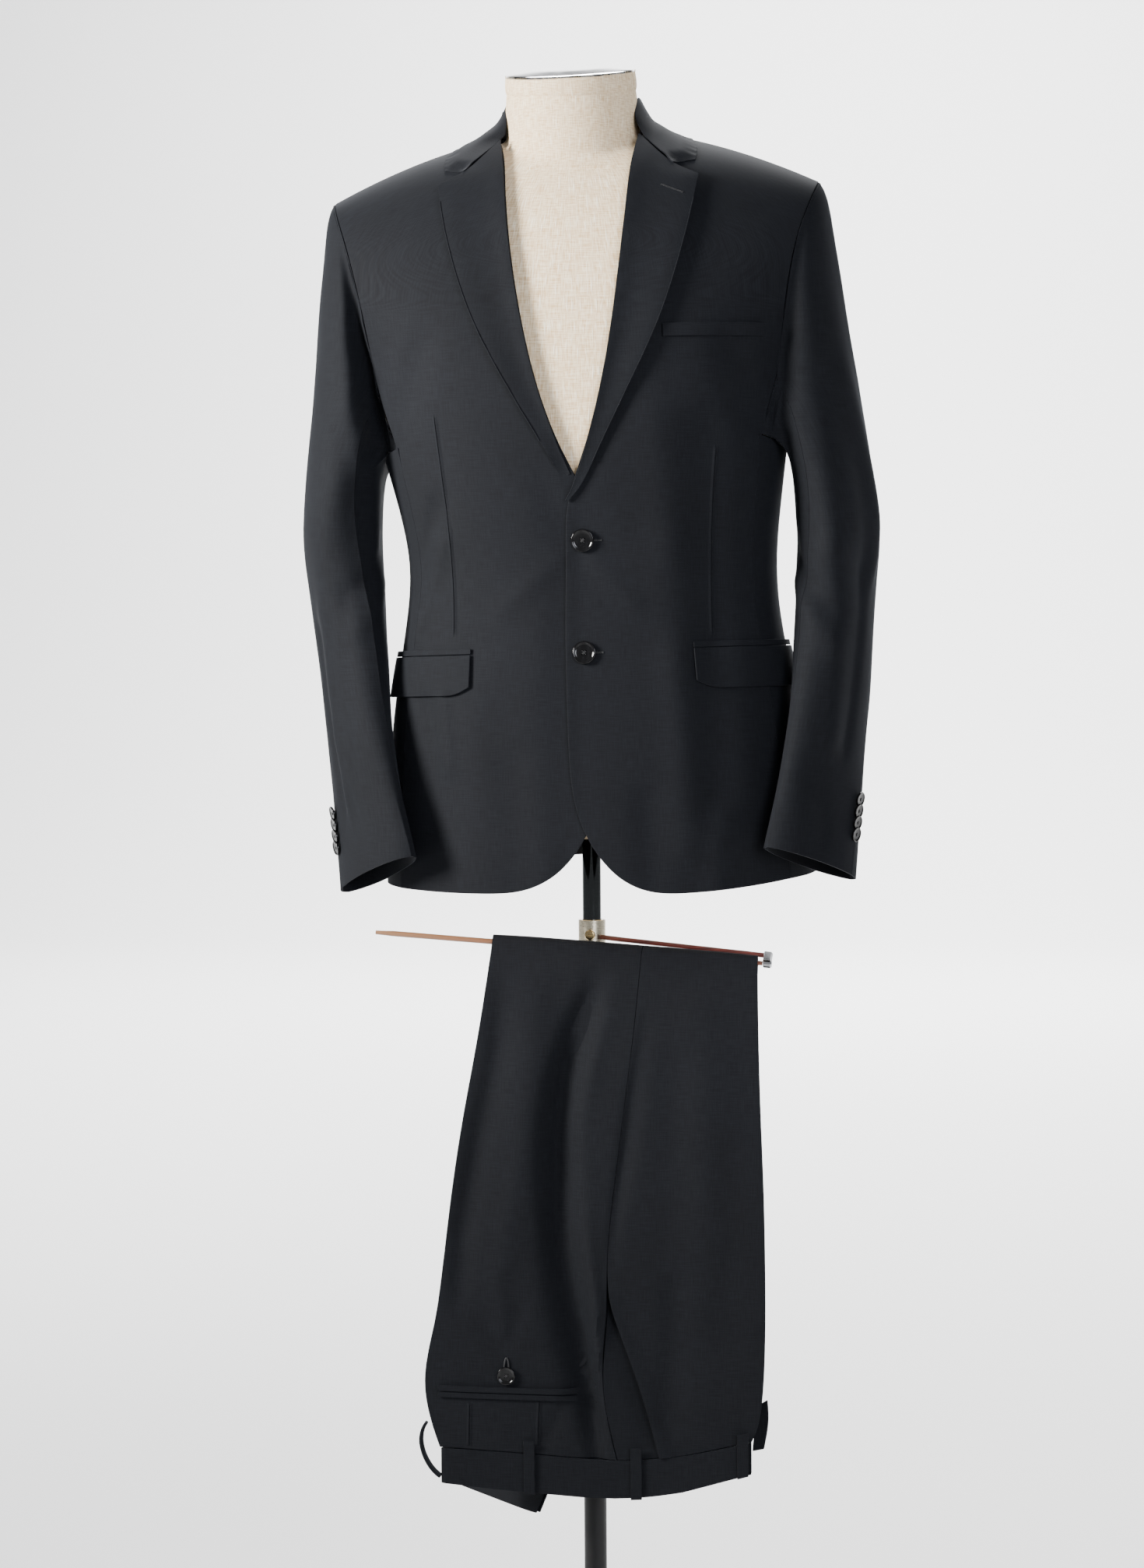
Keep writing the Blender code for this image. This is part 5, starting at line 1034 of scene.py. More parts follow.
def powder_black(name):
    """Powder-coated steel: a fine orange-peel skin of 0.8 mm dimples, deep black with a soft sheen, and
    duller and paler in dusty patches of 38 mm."""
    add, done = blank(name)
    place = add("TexCoord")
    peel = add("TexNoise", {"Vector": (place, "Object"), "Scale": 1300.0, "Detail": 2.0})
    dust = add("TexNoise", {"Vector": (place, "Object"), "Scale": 26.0, "Detail": 4.0})
    tone = add("MapRange", {0: (dust, 0), 1: 0.35, 2: 0.75, 3: 0.0, 4: 1.0})
    black, dusty = opaque(linear("#0b0b0c")), opaque(linear("#131314"))
    colour = add("Mix", {0: (tone, 0), 6: black, 7: dusty}, data_type="RGBA")
    rough = add("MapRange", {0: (dust, 0), 1: 0.3, 2: 0.7, 3: 0.44, 4: 0.56})
    bump = add("Bump", {"Height": (peel, 0), "Strength": 0.25, "Distance": 0.00008})
    return done({
        "Base Color": (colour, 2), "Roughness": (rough, 0), "Normal": (bump, 0), "Specular IOR Level": 0.3
    })


def stained_beech(name, pale, dark):
    """Turned beech, stained red-brown and lacquered: grain 1.4 by 70 mm along the rod, a thin clear gloss,
    and the colour drawn paler towards -X."""
    add, done = blank(name)
    place = add("TexCoord")
    along = add("Mapping", {"Vector": (place, "Object"), "Scale": (14.0, 700.0, 700.0)})
    grain = add("TexNoise", {"Vector": (along, 0), "Scale": 1.0, "Detail": 4.0, "Distortion": 0.4})
    tone = add("MapRange", {0: (grain, 0), 1: 0.35, 2: 0.65, 3: 0.0, 4: 1.0})
    stained = add("Mix", {0: (tone, 0), 6: opaque(dark), 7: opaque(pale)}, data_type="RGBA")
    split = add("SeparateXYZ", {0: (place, "Object")})
    # the rod's colour is drawn paler towards -X
    paler_share = add("MapRange", {0: (split, 0), 1: -0.20, 2: 0.05, 3: 1.0, 4: 0.0})
    pale_end = opaque(linear("#8a6446"))
    colour = add("Mix", {0: (paler_share, 0), 6: (stained, 2), 7: pale_end}, data_type="RGBA")
    bump = add("Bump", {"Height": (grain, 0), "Strength": 0.2, "Distance": 0.0001})
    return done({
        "Base Color": (colour, 2), "Normal": (bump, 0), "Roughness": 0.42, "Coat Weight": 0.6,
        "Coat Roughness": 0.16,
    })


def polished_horn(name):
    """Black horn-like button, tumbled to a gloss: nearly black, with faint smoky streaks, 2 mm wide, under
    the polish."""
    add, done = blank(name)
    place = add("TexCoord")
    streak = add("Mapping", {"Vector": (place, "Object"), "Scale": (500.0, 500.0, 120.0)})
    streak_noise = add("TexNoise", {"Vector": (streak, 0), "Scale": 1.0, "Detail": 3.0, "Distortion": 1.0})
    tone = add("MapRange", {0: (streak_noise, 0), 1: 0.45, 2: 0.75, 3: 0.0, 4: 1.0})
    black, smoky = opaque(linear("#060607")), opaque(linear("#111113"))
    colour = add("Mix", {0: (tone, 0), 6: black, 7: smoky}, data_type="RGBA")
    return done({"Base Color": (colour, 2), "Roughness": 0.11, "IOR": 1.56, "Specular IOR Level": 0.36})


def sewing_thread(name, colour):
    """Spun polyester thread: twisted plies that show as slanting stripes 0.9 mm apart, with painted shade in
    the grooves between them, and a soft sheen.
    """
    add, done = blank(name)
    place = add("TexCoord")
    stripes = {"Vector": (place, "Object"), "Scale": 400.0, "Distortion": 1.0}
    twist = add("TexWave", stripes, bands_direction="DIAGONAL")
    # painted shade: the grooves between the plies are drawn at 0.6 of the thread's colour
    groove_painted_shade = opaque(0.6 * part for part in colour)
    shades = add("Mix", {0: (twist, 1), 6: groove_painted_shade, 7: opaque(colour)}, data_type="RGBA")
    return done({"Base Color": (shades, 2), "Roughness": 0.62, "Sheen Weight": 0.2})


def studio_paper(name):
    """Matt white background paper."""
    _, done = blank(name)
    return done({"Base Color": opaque(linear("#eeeeee")), "Roughness": 0.95, "Specular IOR Level": 0.1})


def shop(key, make, *details):
    """Each material is made once and kept under its name."""
    return bpy.data.materials.get(key) or make(key, *details)


def suiting():
    """The suit's cloth."""
    colours = bpy.context.scene.suit_colours
    return shop("worsted_wool_twill", wool_suiting, tuple(colours.wool_dark), tuple(colours.wool_light))


def linen():
    """The dress form's cloth."""
    return shop("natural_linen", natural_linen)


def button_thread():
    """The thread of buttons, buttonholes and the back pocket's loop."""
    return shop("button_thread", sewing_thread, tuple(bpy.context.scene.suit_colours.thread))


# ---------------------------------------------------------------- what a user would change
class SuitSizes(bpy.types.PropertyGroup):
    """Sizes of the soft detail."""

    crease_depth: FloatProperty(
        name="Crease depth", description="Scales every crease", default=1.35, min=0.0, max=2.0
    )
    cloth: FloatProperty(
        name="Cloth", description="Thickness of one layer with its interlining", default=0.0016, unit="LENGTH"
    )
    twill_pitch: FloatProperty(
        name="Twill pitch", description="Ribs lie 1.4 times this apart, drawn coarser than the real 0.6 mm",
        default=0.0012, unit="LENGTH",
    )
    thread: FloatProperty(
        name="Thread", description="Thickness of buttonhole thread", default=0.00044, unit="LENGTH"
    )
    fray_length: FloatProperty(
        name="Fray", description="Length of the loose linen ends at the neck", default=0.0040, unit="LENGTH"
    )
    fray_count: IntProperty(name="Fray ends", description="Loose ends round the neck", default=200, min=0)


class SuitColours(bpy.types.PropertyGroup):
    """Colours of the cloth and trims."""

    wool_dark: FloatVectorProperty(
        name="Wool, dark yarn", description="Darker yarn of the suiting", subtype="COLOR", size=3,
        default=linear("#0d0e12"),
    )
    wool_light: FloatVectorProperty(
        name="Wool, light yarn", description="Lighter yarn of the suiting", subtype="COLOR", size=3,
        default=linear("#131519"),
    )
    thread: FloatVectorProperty(
        name="Thread", description="Buttonhole and button thread", subtype="COLOR", size=3,
        default=linear("#141519"),
    )


# ---------------------------------------------------------------- operators: one for each piece or group
class SUIT_OT_stage(bpy.types.Operator):
    """Camera, soft studio light and a plain pale floor that curves up behind"""

    bl_idname = "suit.stage"
    bl_label = "Stage"

    def execute(self, context):
        camera = bpy.data.objects.new("camera", bpy.data.cameras.new("camera"))
        context.scene.collection.objects.link(camera)
        camera.data.sensor_fit, camera.data.sensor_width = "HORIZONTAL", 36.0
        camera.data.lens = 36.0 * EYE_DISTANCE / FIELD_WIDTH
        camera.data.clip_end = 60.0
        eye = Vector((EYE_DISTANCE * math.sin(EYE_TURN), -EYE_DISTANCE * math.cos(EYE_TURN), EYE_HEIGHT))
        turn = Matrix.Rotation(EYE_TURN + AIM_TURN, 4, "Z")
        tilt = Matrix.Rotation(math.radians(90) - AIM_DROP, 4, "X")
        roll = Matrix.Rotation(AIM_ROLL, 4, "Z")
        camera.matrix_world = Matrix.Translation(eye) @ turn @ tilt @ roll
        context.scene.camera = camera
        for name, place, aim, size, power, tint, spread in LAMPS:
            lamp = bpy.data.objects.new(name, bpy.data.lights.new(name, "AREA"))
            lamp.data.shape, lamp.data.size, lamp.data.energy = "DISK", size, power
            lamp.data.color, lamp.data.spread = linear(tint), math.radians(spread)
            lamp.location = place
            lamp.rotation_euler = (Vector(aim) - Vector(place)).to_track_quat("-Z", "Y").to_euler()
            context.scene.collection.objects.link(lamp)
        world = bpy.data.worlds.new("studio_air")
        world.use_nodes = True
        air = world.node_tree.nodes["Background"]
        air.inputs["Color"].default_value = opaque(linear("#f2f3f5"))
        air.inputs["Strength"].default_value = 0.34
        context.scene.world = world
        self.paper()
        return {"FINISHED"}

    def paper(self):
        """A sheet of paper: flat in front, and a quarter circle up to a wall far behind."""
        radius, back, half, below = 3.0, 12.5, 14.0, 0.0002
        arc = np.linspace(0, np.pi / 2, 32)
        y = np.concatenate([[-12.0, -3.0, 0.0, 4.0], back - radius + radius * np.sin(arc), [back]])
        z = np.concatenate([[0.0] * 4, radius - radius * np.cos(arc), [14.0]])
        x = np.array([-half, half])
        points = np.stack([np.tile(x, len(y)), np.repeat(y, 2), np.repeat(z, 2)], axis=-1)
        floor = new_piece("floor", points - [0, 0, below], grid_faces(len(y), 2), 80.0)
        floor.data.materials.append(studio_paper("studio_paper"))


class SUIT_OT_body(bpy.types.Operator):
    """Fronts, side panels and backs of the jacket"""

    bl_idname = "suit.body"
    bl_label = "Jacket body"

    def execute(self, context):
        cloth, form = context.scene.suit_sizes.cloth, ["form_torso"]
        for side in SIDES:
            for part, moved in (("front", front_moved), ("side", jacket_moved), ("back", jacket_moved)):
                cloth_shell(f"jacket_{part}_{side}", "form", FINE, cloth, moved, body_map, "draped", form)
        return {"FINISHED"}


class SUIT_OT_lapels(bpy.types.Operator):
    """Lapels, collar and collar stand"""

    bl_idname = "suit.lapels"
    bl_label = "Lapels and collar"

    def execute(self, context):
        for side in SIDES:
            front = [f"jacket_front_{side}"]
            cloth_shell(
                f"jacket_lapel_{side}", "form", FINE, LAPEL_CLOTH, lapel_moved, body_map, "folded", front
            )
        backs = [f"jacket_back_{side}" for side in SIDES]
        cloth_shell("jacket_collar", "form", FINE, COLLAR_CLOTH, collar_moved, collar_map, "folded", backs)
        cloth_shell(
            "jacket_collar_stand", "form", COARSE, COLLAR_CLOTH, jacket_moved, collar_map, "folded", backs
        )
        return {"FINISHED"}


class SUIT_OT_sleeves(bpy.types.Operator):
    """Top and under sleeves"""

    bl_idname = "suit.sleeves"
    bl_label = "Sleeves"

    def execute(self, context):
        cloth = context.scene.suit_sizes.cloth
        for side in SIDES:
            rests_on = [f"jacket_front_{side}", f"jacket_back_{side}"]
            for part in ("top", "under"):
                cloth_shell(
                    f"sleeve_{part}_{side}", "form", FINE, cloth,
                    lambda points, side=side: sleeve_tucked(sleeve_moved(points, side), side),
                    lambda points, side=side: sleeve_map(points, side), "hung", rests_on,
                )
        return {"FINISHED"}


class SUIT_OT_pockets(bpy.types.Operator):
    """Pocket flaps with their jets, and the breast welt"""

    bl_idname = "suit.pockets"
    bl_label = "Jacket pockets"
    flap_length, least_depth = 0.0395, 0.038  # of the flap as cut, metres

    def execute(self, context):
        for side in SIDES:
            front = [f"jacket_front_{side}", f"jacket_side_{side}"]
            flap = cloth_shell(f"pocket_flap_{side}", "form", COARSE, FLAP_CLOTH, jacket_moved, body_map)
            jet = cloth_shell(f"pocket_jet_{side}", "form", COARSE, JET_CLOTH, jacket_moved, body_map)
            area = cloth_area(flap)
            width = max(float(np.ptp(body_map(vertex_points(flap))[0])), area / self.least_depth)
        front = ["jacket_front_left"]
        cloth_shell("breast_welt", "form", COARSE, WELT_CLOTH, welt_moved, body_map, "folded", front)
        return {"FINISHED"}


class SUIT_OT_form(bpy.types.Operator):
    """The dress form's linen cover and neck band, and the linen's frayed edge over the band"""

    bl_idname = "suit.form"
    bl_label = "Dress form"

    def execute(self, context):
        shape = merged("form_torso")
        join_and_mark(shape)
        cover = smoothed("form_linen", shape, COARSE)
        points = vertex_points(cover)
        angle = np.arctan2(points[:, 0] - NECK_X, -points[:, 1])
        set_cloth_map(cover, NECK_RADIUS * angle, points[:, 2])
        points[:, 2] -= self.dipped(points) * ease(points[:, 2], 1.562, 1.586)
        move_to(cover, points)
        finish(cover, linen(), "form", ("form_torso",))
        cap = self.band()
        angles, out, grid = self.hem(cap, cover)
        self.fray(context.scene.suit_sizes, angles, out, grid[-1])
        return {"FINISHED"}

    def dipped(self, points):
        """How far the neck's top sags: the dip times (-y / NECK_DEPTH)^1.5, none behind."""
        return BAND_DIP * np.clip(-points[:, 1] / NECK_DEPTH, 0, 1) ** 1.5

    def band(self):
        """The plated neck band: its solid smoothed with its edges kept, and sagging at the front."""
        shape = merged("neck_cap")
        to_quads(shape, 20)
        creases = shape.edges.layers.float.new("crease_edge")
        for line in shape.edges:
            if len(line.link_faces) == 2 and line.calc_face_angle(0.0) > math.radians(30):
                line[creases] = 0.9
        cap = smoothed("neck_band", shape, COARSE)
        points = vertex_points(cap)
        points[:, 2] -= self.dipped(points)
        move_to(cap, points)
        return finish(cap, shop("smoked_chrome", smoked_chrome), "form", ("neck_cap",))

    def hem(self, cap, cover):
        """The linen's cut edge laid up over the band, as a strip round it.

        Its edge follows the band's tilted top, 4.4 mm below it in front and 0.8 mm at the sides, and waves.
        Between its two rings it bulges by 4.4 mm * sqrt(share) * (1 - share).
        """
        corners = vertex_points(NODES["neck_cap"])
        middle = corners.mean(axis=0)
        _, _, axes = np.linalg.svd(corners - middle)
        normal = axes[2] * np.sign(axes[2][2])
        lid = ((corners - middle) @ normal).max()
        centre = middle[:2]
        angles = round_angles(160)
        out = np.stack([np.sin(angles), -np.cos(angles), 0 * angles], axis=-1)
        in_front, less_at_sides, band_radius, outside = 0.0044, 0.0036, 0.055, 0.085
        drop = in_front - less_at_sides * np.abs(out[:, 0]) ** 4 + BAND_DIP * np.clip(-out[:, 1], 0, 1) ** 1.5
        drop = drop + 0.0005 * np.sin(5 * angles + 1.0) + 0.0003 * np.sin(13 * angles)
        tree = surface_tree(cap, cover)
        rings = []
        foot, edge_ring = (0.020, -0.0012), (0.0, 0.0008)  # how far below the edge, and how far off the band
        for below, raised in (foot, edge_ring):
            ring = []
            for direction, fall in zip(out, drop):
                edge = centre + band_radius * direction[:2]
                top = middle[2] + (lid - normal[:2] @ (edge - centre)) / normal[2] - fall
                start = Vector((*(centre + outside * direction[:2]), top - below))
                hit, _, _, _ = tree.find_nearest(start)
                ring.append(np.array(hit) + raised * direction)
            rings.append(np.array(ring))
        rows = 10
        share = np.linspace(0, 1, rows)[:, None, None]
        grid = (1 - share) * rings[0] + share * rings[1] + 0.0044 * np.sqrt(share) * (1 - share) * out
        flat = grid.reshape(-1, 3)
        strip = new_piece("neck_hem", flat, grid_faces(rows, len(angles), closed=True), 60.0)
        set_cloth_map(strip, np.tile(NECK_RADIUS * angles, rows), flat[:, 2])
        wall(strip, HEM_CLOTH, rounding=0)
        finish(strip, linen(), "form", (), "form_torso")
        return angles, out, grid

    def fray(self, sizes, angles, out, edge):
        """Loose ends on the hem's top, each a curve foot + length * (t up + lean t^2 round + 0.12 t out)."""
        chance = np.random.default_rng(7)
        strands = []
        hidden, thread_radius = 0.001, 0.00010
        for number in range(sizes.fray_count):
            place = number * len(angles) // sizes.fray_count
            foot = edge[place] - [0, 0, hidden]
            lean = chance.normal(0, 0.35)
            length = sizes.fray_length * chance.uniform(0.25, 1.0)
            t = np.linspace(0, 1, 4)[:, None]
            turn = np.array([math.cos(angles[place]), math.sin(angles[place]), 0.0])
            path = foot + length * (t * [0, 0, 1] + lean * t * t * turn + 0.12 * t * out[place])
            strands.append(tube_along(path, thread_radius, 4))
        loose_ends = shop("linen_thread", sewing_thread, linear("#d9c9a8"))
        finish(joined("neck_fray", strands), loose_ends, "form", (), "form_torso")


class SUIT_OT_stand(bpy.types.Operator):
    """Base plate, hub, pole, clamping collar with its screw, and the tube"""

    bl_idname = "suit.stand"
    bl_label = "Stand"

    def execute(self, context):
        black = shop("powder_coated_steel", powder_black)
        finish(self.plate(), black, "stand", ("base_plate",))
        finish(self.hub(), black, "stand", ("base_hub",))
        inner = POLE_RADIUS - 0.0015
        low, high = POLE_LOW.z, POLE_HIGH.z
        walls = [(inner, low), (POLE_RADIUS, low), (POLE_RADIUS, high), (inner, high), (inner, low)]
        finish(turned("pole_round", walls, 64), black, "stand", ("pole",))
        nickel = shop("satin_nickel", polished_metal, linear("#d8cfb8"), 0.24, 0.06)
        finish(self.collar(), nickel, "stand", ("pole_collar",))
        brass = shop("screw_brass", polished_metal, linear("#b9a377"), 0.18, 0.10)
        finish(self.screw(), brass, "stand", ("clamp_screw",))
        low, high, chamfer = TUBE_LOW.z, TUBE_HIGH.z, 0.001
        walls = [(0, low), (TUBE_RADIUS - chamfer, low), (TUBE_RADIUS, low + chamfer)]
        tube = turned("form_tube_round", walls + [(TUBE_RADIUS, high - 0.0002), (0, high)], 64)
        dark = shop("black_chrome", polished_metal, linear("#4a4d4e"), 0.07, 0.05)
        finish(tube, dark, "form", ("form_tube",))
        return {"FINISHED"}

    def plate(self):
        """The base plate: flat, with a rounded foot and a top that falls by 1 mm over its last 90 mm."""
        radius, top = PLATE_HIGH.x, PLATE_HIGH.z
        foot = [(0, 0), (radius - 0.002, 0), (radius - 0.0006, 0.0006), (radius, 0.002)]
        rim = [(radius, top - 0.004), (radius - 0.0010, top - 0.0022), (radius - 0.004, top - 0.001)]
        return turned("base_plate_round", foot + rim + [(0.10, top), (0, top)], 128)

    def hub(self):
        """The hub: its radius falls from the foot's to 15.5 mm as 1 - (1 - share)^2.4."""
        low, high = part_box("base_hub")
        wide, foot, height = high.x, low.z, high.z - low.z
        bore = POLE_RADIUS + WALL_GAP
        share = np.linspace(0, 1, 14)
        radii = wide + (0.0155 - wide) * (1 - (1 - share) ** 2.4)
        slope = list(zip(radii, foot + 0.004 + (height - 0.006) * share))
        return turned("base_hub_round", [(bore, foot), (wide, foot), *slope, (bore, foot + height)], 96)

    def collar(self):
        """The clamping collar: round the pole below its top, and closer round the tube above it."""
        low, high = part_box("pole_collar")
        wide, chamfer = high.x, 0.0005
        bore, neck, step = POLE_RADIUS + WALL_GAP, TUBE_RADIUS + 0.0003, POLE_HIGH.z + 0.0003
        outside = [(bore, low.z), (wide - chamfer, low.z), (wide, low.z + chamfer), (wide, high.z - chamfer)]
        top = [(wide - chamfer, high.z), (TUBE_RADIUS + 0.0009, high.z), (neck, high.z - chamfer)]
        return turned("pole_collar_round", outside + top + [(neck, step), (bore, step), (bore, low.z)], 96)

    def screw(self):
        """The clamp screw: a thin neck and a wide head with a small dimple, lying along -Y."""
        low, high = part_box("clamp_screw")
        middle = 0.5 * (low + high)
        place = Matrix.Translation((middle.x, high.y, middle.z)) @ Matrix.Rotation(math.radians(90), 4, "X")
        long, wide = high.y - low.y, 0.5 * (high.x - low.x)
        neck = [(0, 0), (0.0022, 0), (0.0022, 0.0032)]
        head = [(wide - 0.0004, 0.0034), (wide, 0.0040), (wide, long - 0.0010)]
        head += [(wide - 0.0006, long - 0.0002), (wide - 0.0014, long)]
        dimple = [(0.0016, long), (0.0013, long - 0.0008), (0, long - 0.0009)]
        return turned("clamp_screw_round", neck + head + dimple, 48, place)


class SUIT_OT_bar(bpy.types.Operator):
    """Trouser bar, the arm that carries it and their end fitting"""

    bl_idname = "suit.bar"
    bl_label = "Trouser bar"

    def execute(self, context):
        radius = 0.5 * (BAR_HIGH.y - BAR_LOW.y)
        middle_y = 0.5 * (BAR_HIGH.y + BAR_LOW.y)
        rings, around = 24, 24
        x = np.linspace(BAR_LOW.x + 0.0002, BAR_HIGH.x - 0.0002, rings)
        slope = (BAR_LOW.z + radius - (BAR_HIGH.z - radius)) / (BAR_HIGH.x - BAR_LOW.x)
        z = BAR_HIGH.z - radius + slope * (x - BAR_LOW.x)
        shrink = 1 - 0.25 * np.isin(np.arange(rings), (0, rings - 1))
        points, faces = tube_along(np.stack([x, middle_y + 0 * x, z], axis=-1), radius * shrink, around)
        wood = shop("stained_beech", stained_beech, linear("#8a4a2c"), linear("#4a1f14"))
        finish(new_piece("trouser_bar_rod", points, faces), wood, "stand", ("trouser_bar",))
        dark_wood = shop("stained_beech_dark", stained_beech, linear("#6b2a20"), linear("#3a130e"))
        chrome = shop("fitting_chrome", polished_metal, linear("#d2d3d6"), 0.10, 0.08)
        for name, material in (("bar_arm", dark_wood), ("bar_fitting", chrome)):
            NODES[name].data.materials.clear()
            NODES[name].data.materials.append(material)
        return {"FINISHED"}


class SUIT_OT_trousers(bpy.types.Operator):
    """Near leg panels, pocket facing, hidden layers and back pocket jets"""

    bl_idname = "suit.trousers"
    bl_label = "Trousers"

    def execute(self, context):
        cloth = context.scene.suit_sizes.cloth
        for part, moved in (("back", trouser_moved), ("front", front_panel_moved)):
            panel = f"trouser_{part}_panel"
            cloth_shell(panel, "stand", FINE, cloth, moved, trouser_map, "folded", ["trouser_bar"])
        inner = "trouser_inner_layers"
        cloth_shell(
            "pocket_facing", "stand", COARSE, FACING_CLOTH, facing_moved, trouser_map, "laid", [inner]
        )
        for part in ("upper", "lower"):
            cloth_shell(f"back_jet_{part}", "stand", COARSE, BACK_JET_CLOTH, back_jet_moved, trouser_map)
        shape = merged(inner)
        join_and_mark(shape)
        layers = smoothed("trouser_layers", shape, COARSE)
        points = vertex_points(layers)
        set_cloth_map(layers, *trouser_map(points))
        move_to(layers, facing_moved(points))
        finish(layers, suiting(), "stand", (inner,))
        return {"FINISHED"}


class SUIT_OT_waistband(bpy.types.Operator):
    """Waistband halves, belt loops and the far closure end"""

    bl_idname = "suit.waistband"
    bl_label = "Waistband"

    def execute(self, context):
        inner = ["trouser_inner_layers"]
        loops = {
            "near": [f"belt_loop_{number}" for number in range(1, 5)],
            "far": [f"belt_loop_far_{number}" for number in range(1, 4)],
        }
        thick = {"belt_loop_1": BOWED_LOOP_CLOTH}
        for half, names in loops.items():
            loops[half] = [
                cloth_shell(name, "stand", COARSE, thick.get(name, LOOP_CLOTH), as_cut, trouser_map)
                for name in names
            ]
        for half, own in loops.items():
            band = cloth_shell(f"waistband_{half}", "stand", COARSE, WAISTBAND_CLOTH, as_cut, trouser_map)
            points = vertex_points(band)
            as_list(own)
        cloth_shell("closure_end", "stand", COARSE, CLOSURE_CLOTH, as_cut, trouser_map, "folded", inner)
        return {"FINISHED"}


class SUIT_OT_buttons(bpy.types.Operator):
    """Front, cuff and back pocket buttons with their thread"""

    bl_idname = "suit.buttons"
    bl_label = "Buttons"
    hole_reach, hole_radius = 0.20, 0.085  # shares of the button's radius

    def execute(self, context):
        names = ["front_button_1", "front_button_2", "back_pocket_button"]
        names += [f"cuff_button_{side}_{number}" for side in SIDES for number in range(1, 5)]
        for name in names:
            body = "stand" if name.startswith("back") else "form"
            place, radius, thickness = self.seat(name)
            self.disc(name, body, place, radius, thickness)
            self.stitches(name, body, place, radius, thickness)
        return {"FINISHED"}

    def seat(self, name):
        """The button's place, as a matrix with +Z outwards from its back, and its radius and thickness."""
        points = vertex_points(NODES[name])
        centre = points.mean(axis=0)
        _, _, axes = np.linalg.svd(points - centre)
        facing = axes[2]
        outward = np.array([0, -1.0, 0]) if "cuff" not in name else np.array([np.sign(centre[0]), -0.6, 0.3])
        facing = facing if facing @ outward > 0 else -facing
        heights = (points - centre) @ facing
        radius = np.linalg.norm((points - centre) - heights[:, None] * facing, axis=1).max()
        turn = Vector((0, 0, 1)).rotation_difference(Vector(facing))
        place = Matrix.Translation(centre + facing * heights.min()) @ turn.to_matrix().to_4x4()
        return place, radius, np.ptp(heights)

    def disc(self, name, body, place, radius, thickness):
        """A turned disc with a rim rounded by a quarter ellipse, a dished middle and four holes."""
        share = np.linspace(0, np.pi / 2, 7)
        rim = [(0.93 + 0.07 * math.cos(s), 0.62 + 0.38 * math.sin(s)) for s in share]
        dish = [(0.90, 1.0), (0.86, 0.985), (0.82, 0.93), (0.78, 0.84), (0.74, 0.77), (0.68, 0.73)]
        middle = [(0.55, 0.70), (0.42, 0.69), (0.20, 0.685), (0, 0.68)]
        profile = [(0, 0), (0.80, 0), (0.93, 0.16), (1.0, 0.42), *rim, *dish, *middle]
        whole = turned(name + "_whole", [(r * radius, h * thickness) for r, h in profile], 64, place)
        holes = []
        ring = round_angles(14)
        for number in range(4):
            angle = math.radians(45 + 90 * number)
            across = self.hole_reach * radius * math.cos(angle) + self.hole_radius * radius * np.cos(ring)
            up = self.hole_reach * radius * math.sin(angle) + self.hole_radius * radius * np.sin(ring)
            low = np.stack([across, up, 0 * ring], axis=-1)
            both = np.concatenate([low - [0, 0, thickness], low + [0, 0, 2 * thickness]])
            holes.append((placed(both, place), capped_faces(2, len(ring))))
        drill = joined(name + "_drill", holes)
        cut = whole.modifiers.new("holes", "BOOLEAN")
        cut.operation, cut.object, cut.solver = "DIFFERENCE", drill, "EXACT"
        drilled = evaluated_arrays(whole)
        bpy.data.objects.remove(drill, do_unlink=True)
        bpy.data.objects.remove(whole, do_unlink=True)
        disc = new_piece(name + "_disc", *drilled, 38.0)
        finish(disc, shop("polished_horn", polished_horn), body, (name,))

    def stitches(self, name, body, place, radius, thickness):
        """Two crossing pairs of threads through the holes, flat between them and dipping at their ends."""
        reach, level = self.hole_reach * radius * math.cos(math.pi / 4), 0.76 * thickness + 0.0002
        half = 0.020 * radius + 0.00005
        t = np.linspace(-1, 1, 9)
        lift = level - 0.0012 * np.clip(np.abs(t) - 0.8, 0, 1) / 0.2
        strands = []
        for up in (1, -1):
            for offset in (-0.03, 0.03):
                x = reach * t + offset * radius
                y = reach * t * up - offset * radius
                path = np.stack([x, y, lift], axis=-1)
                strands.append(tube_along(placed(path, place), half, 6))
        finish(joined(name + "_thread", strands), button_thread(), body, (), name)


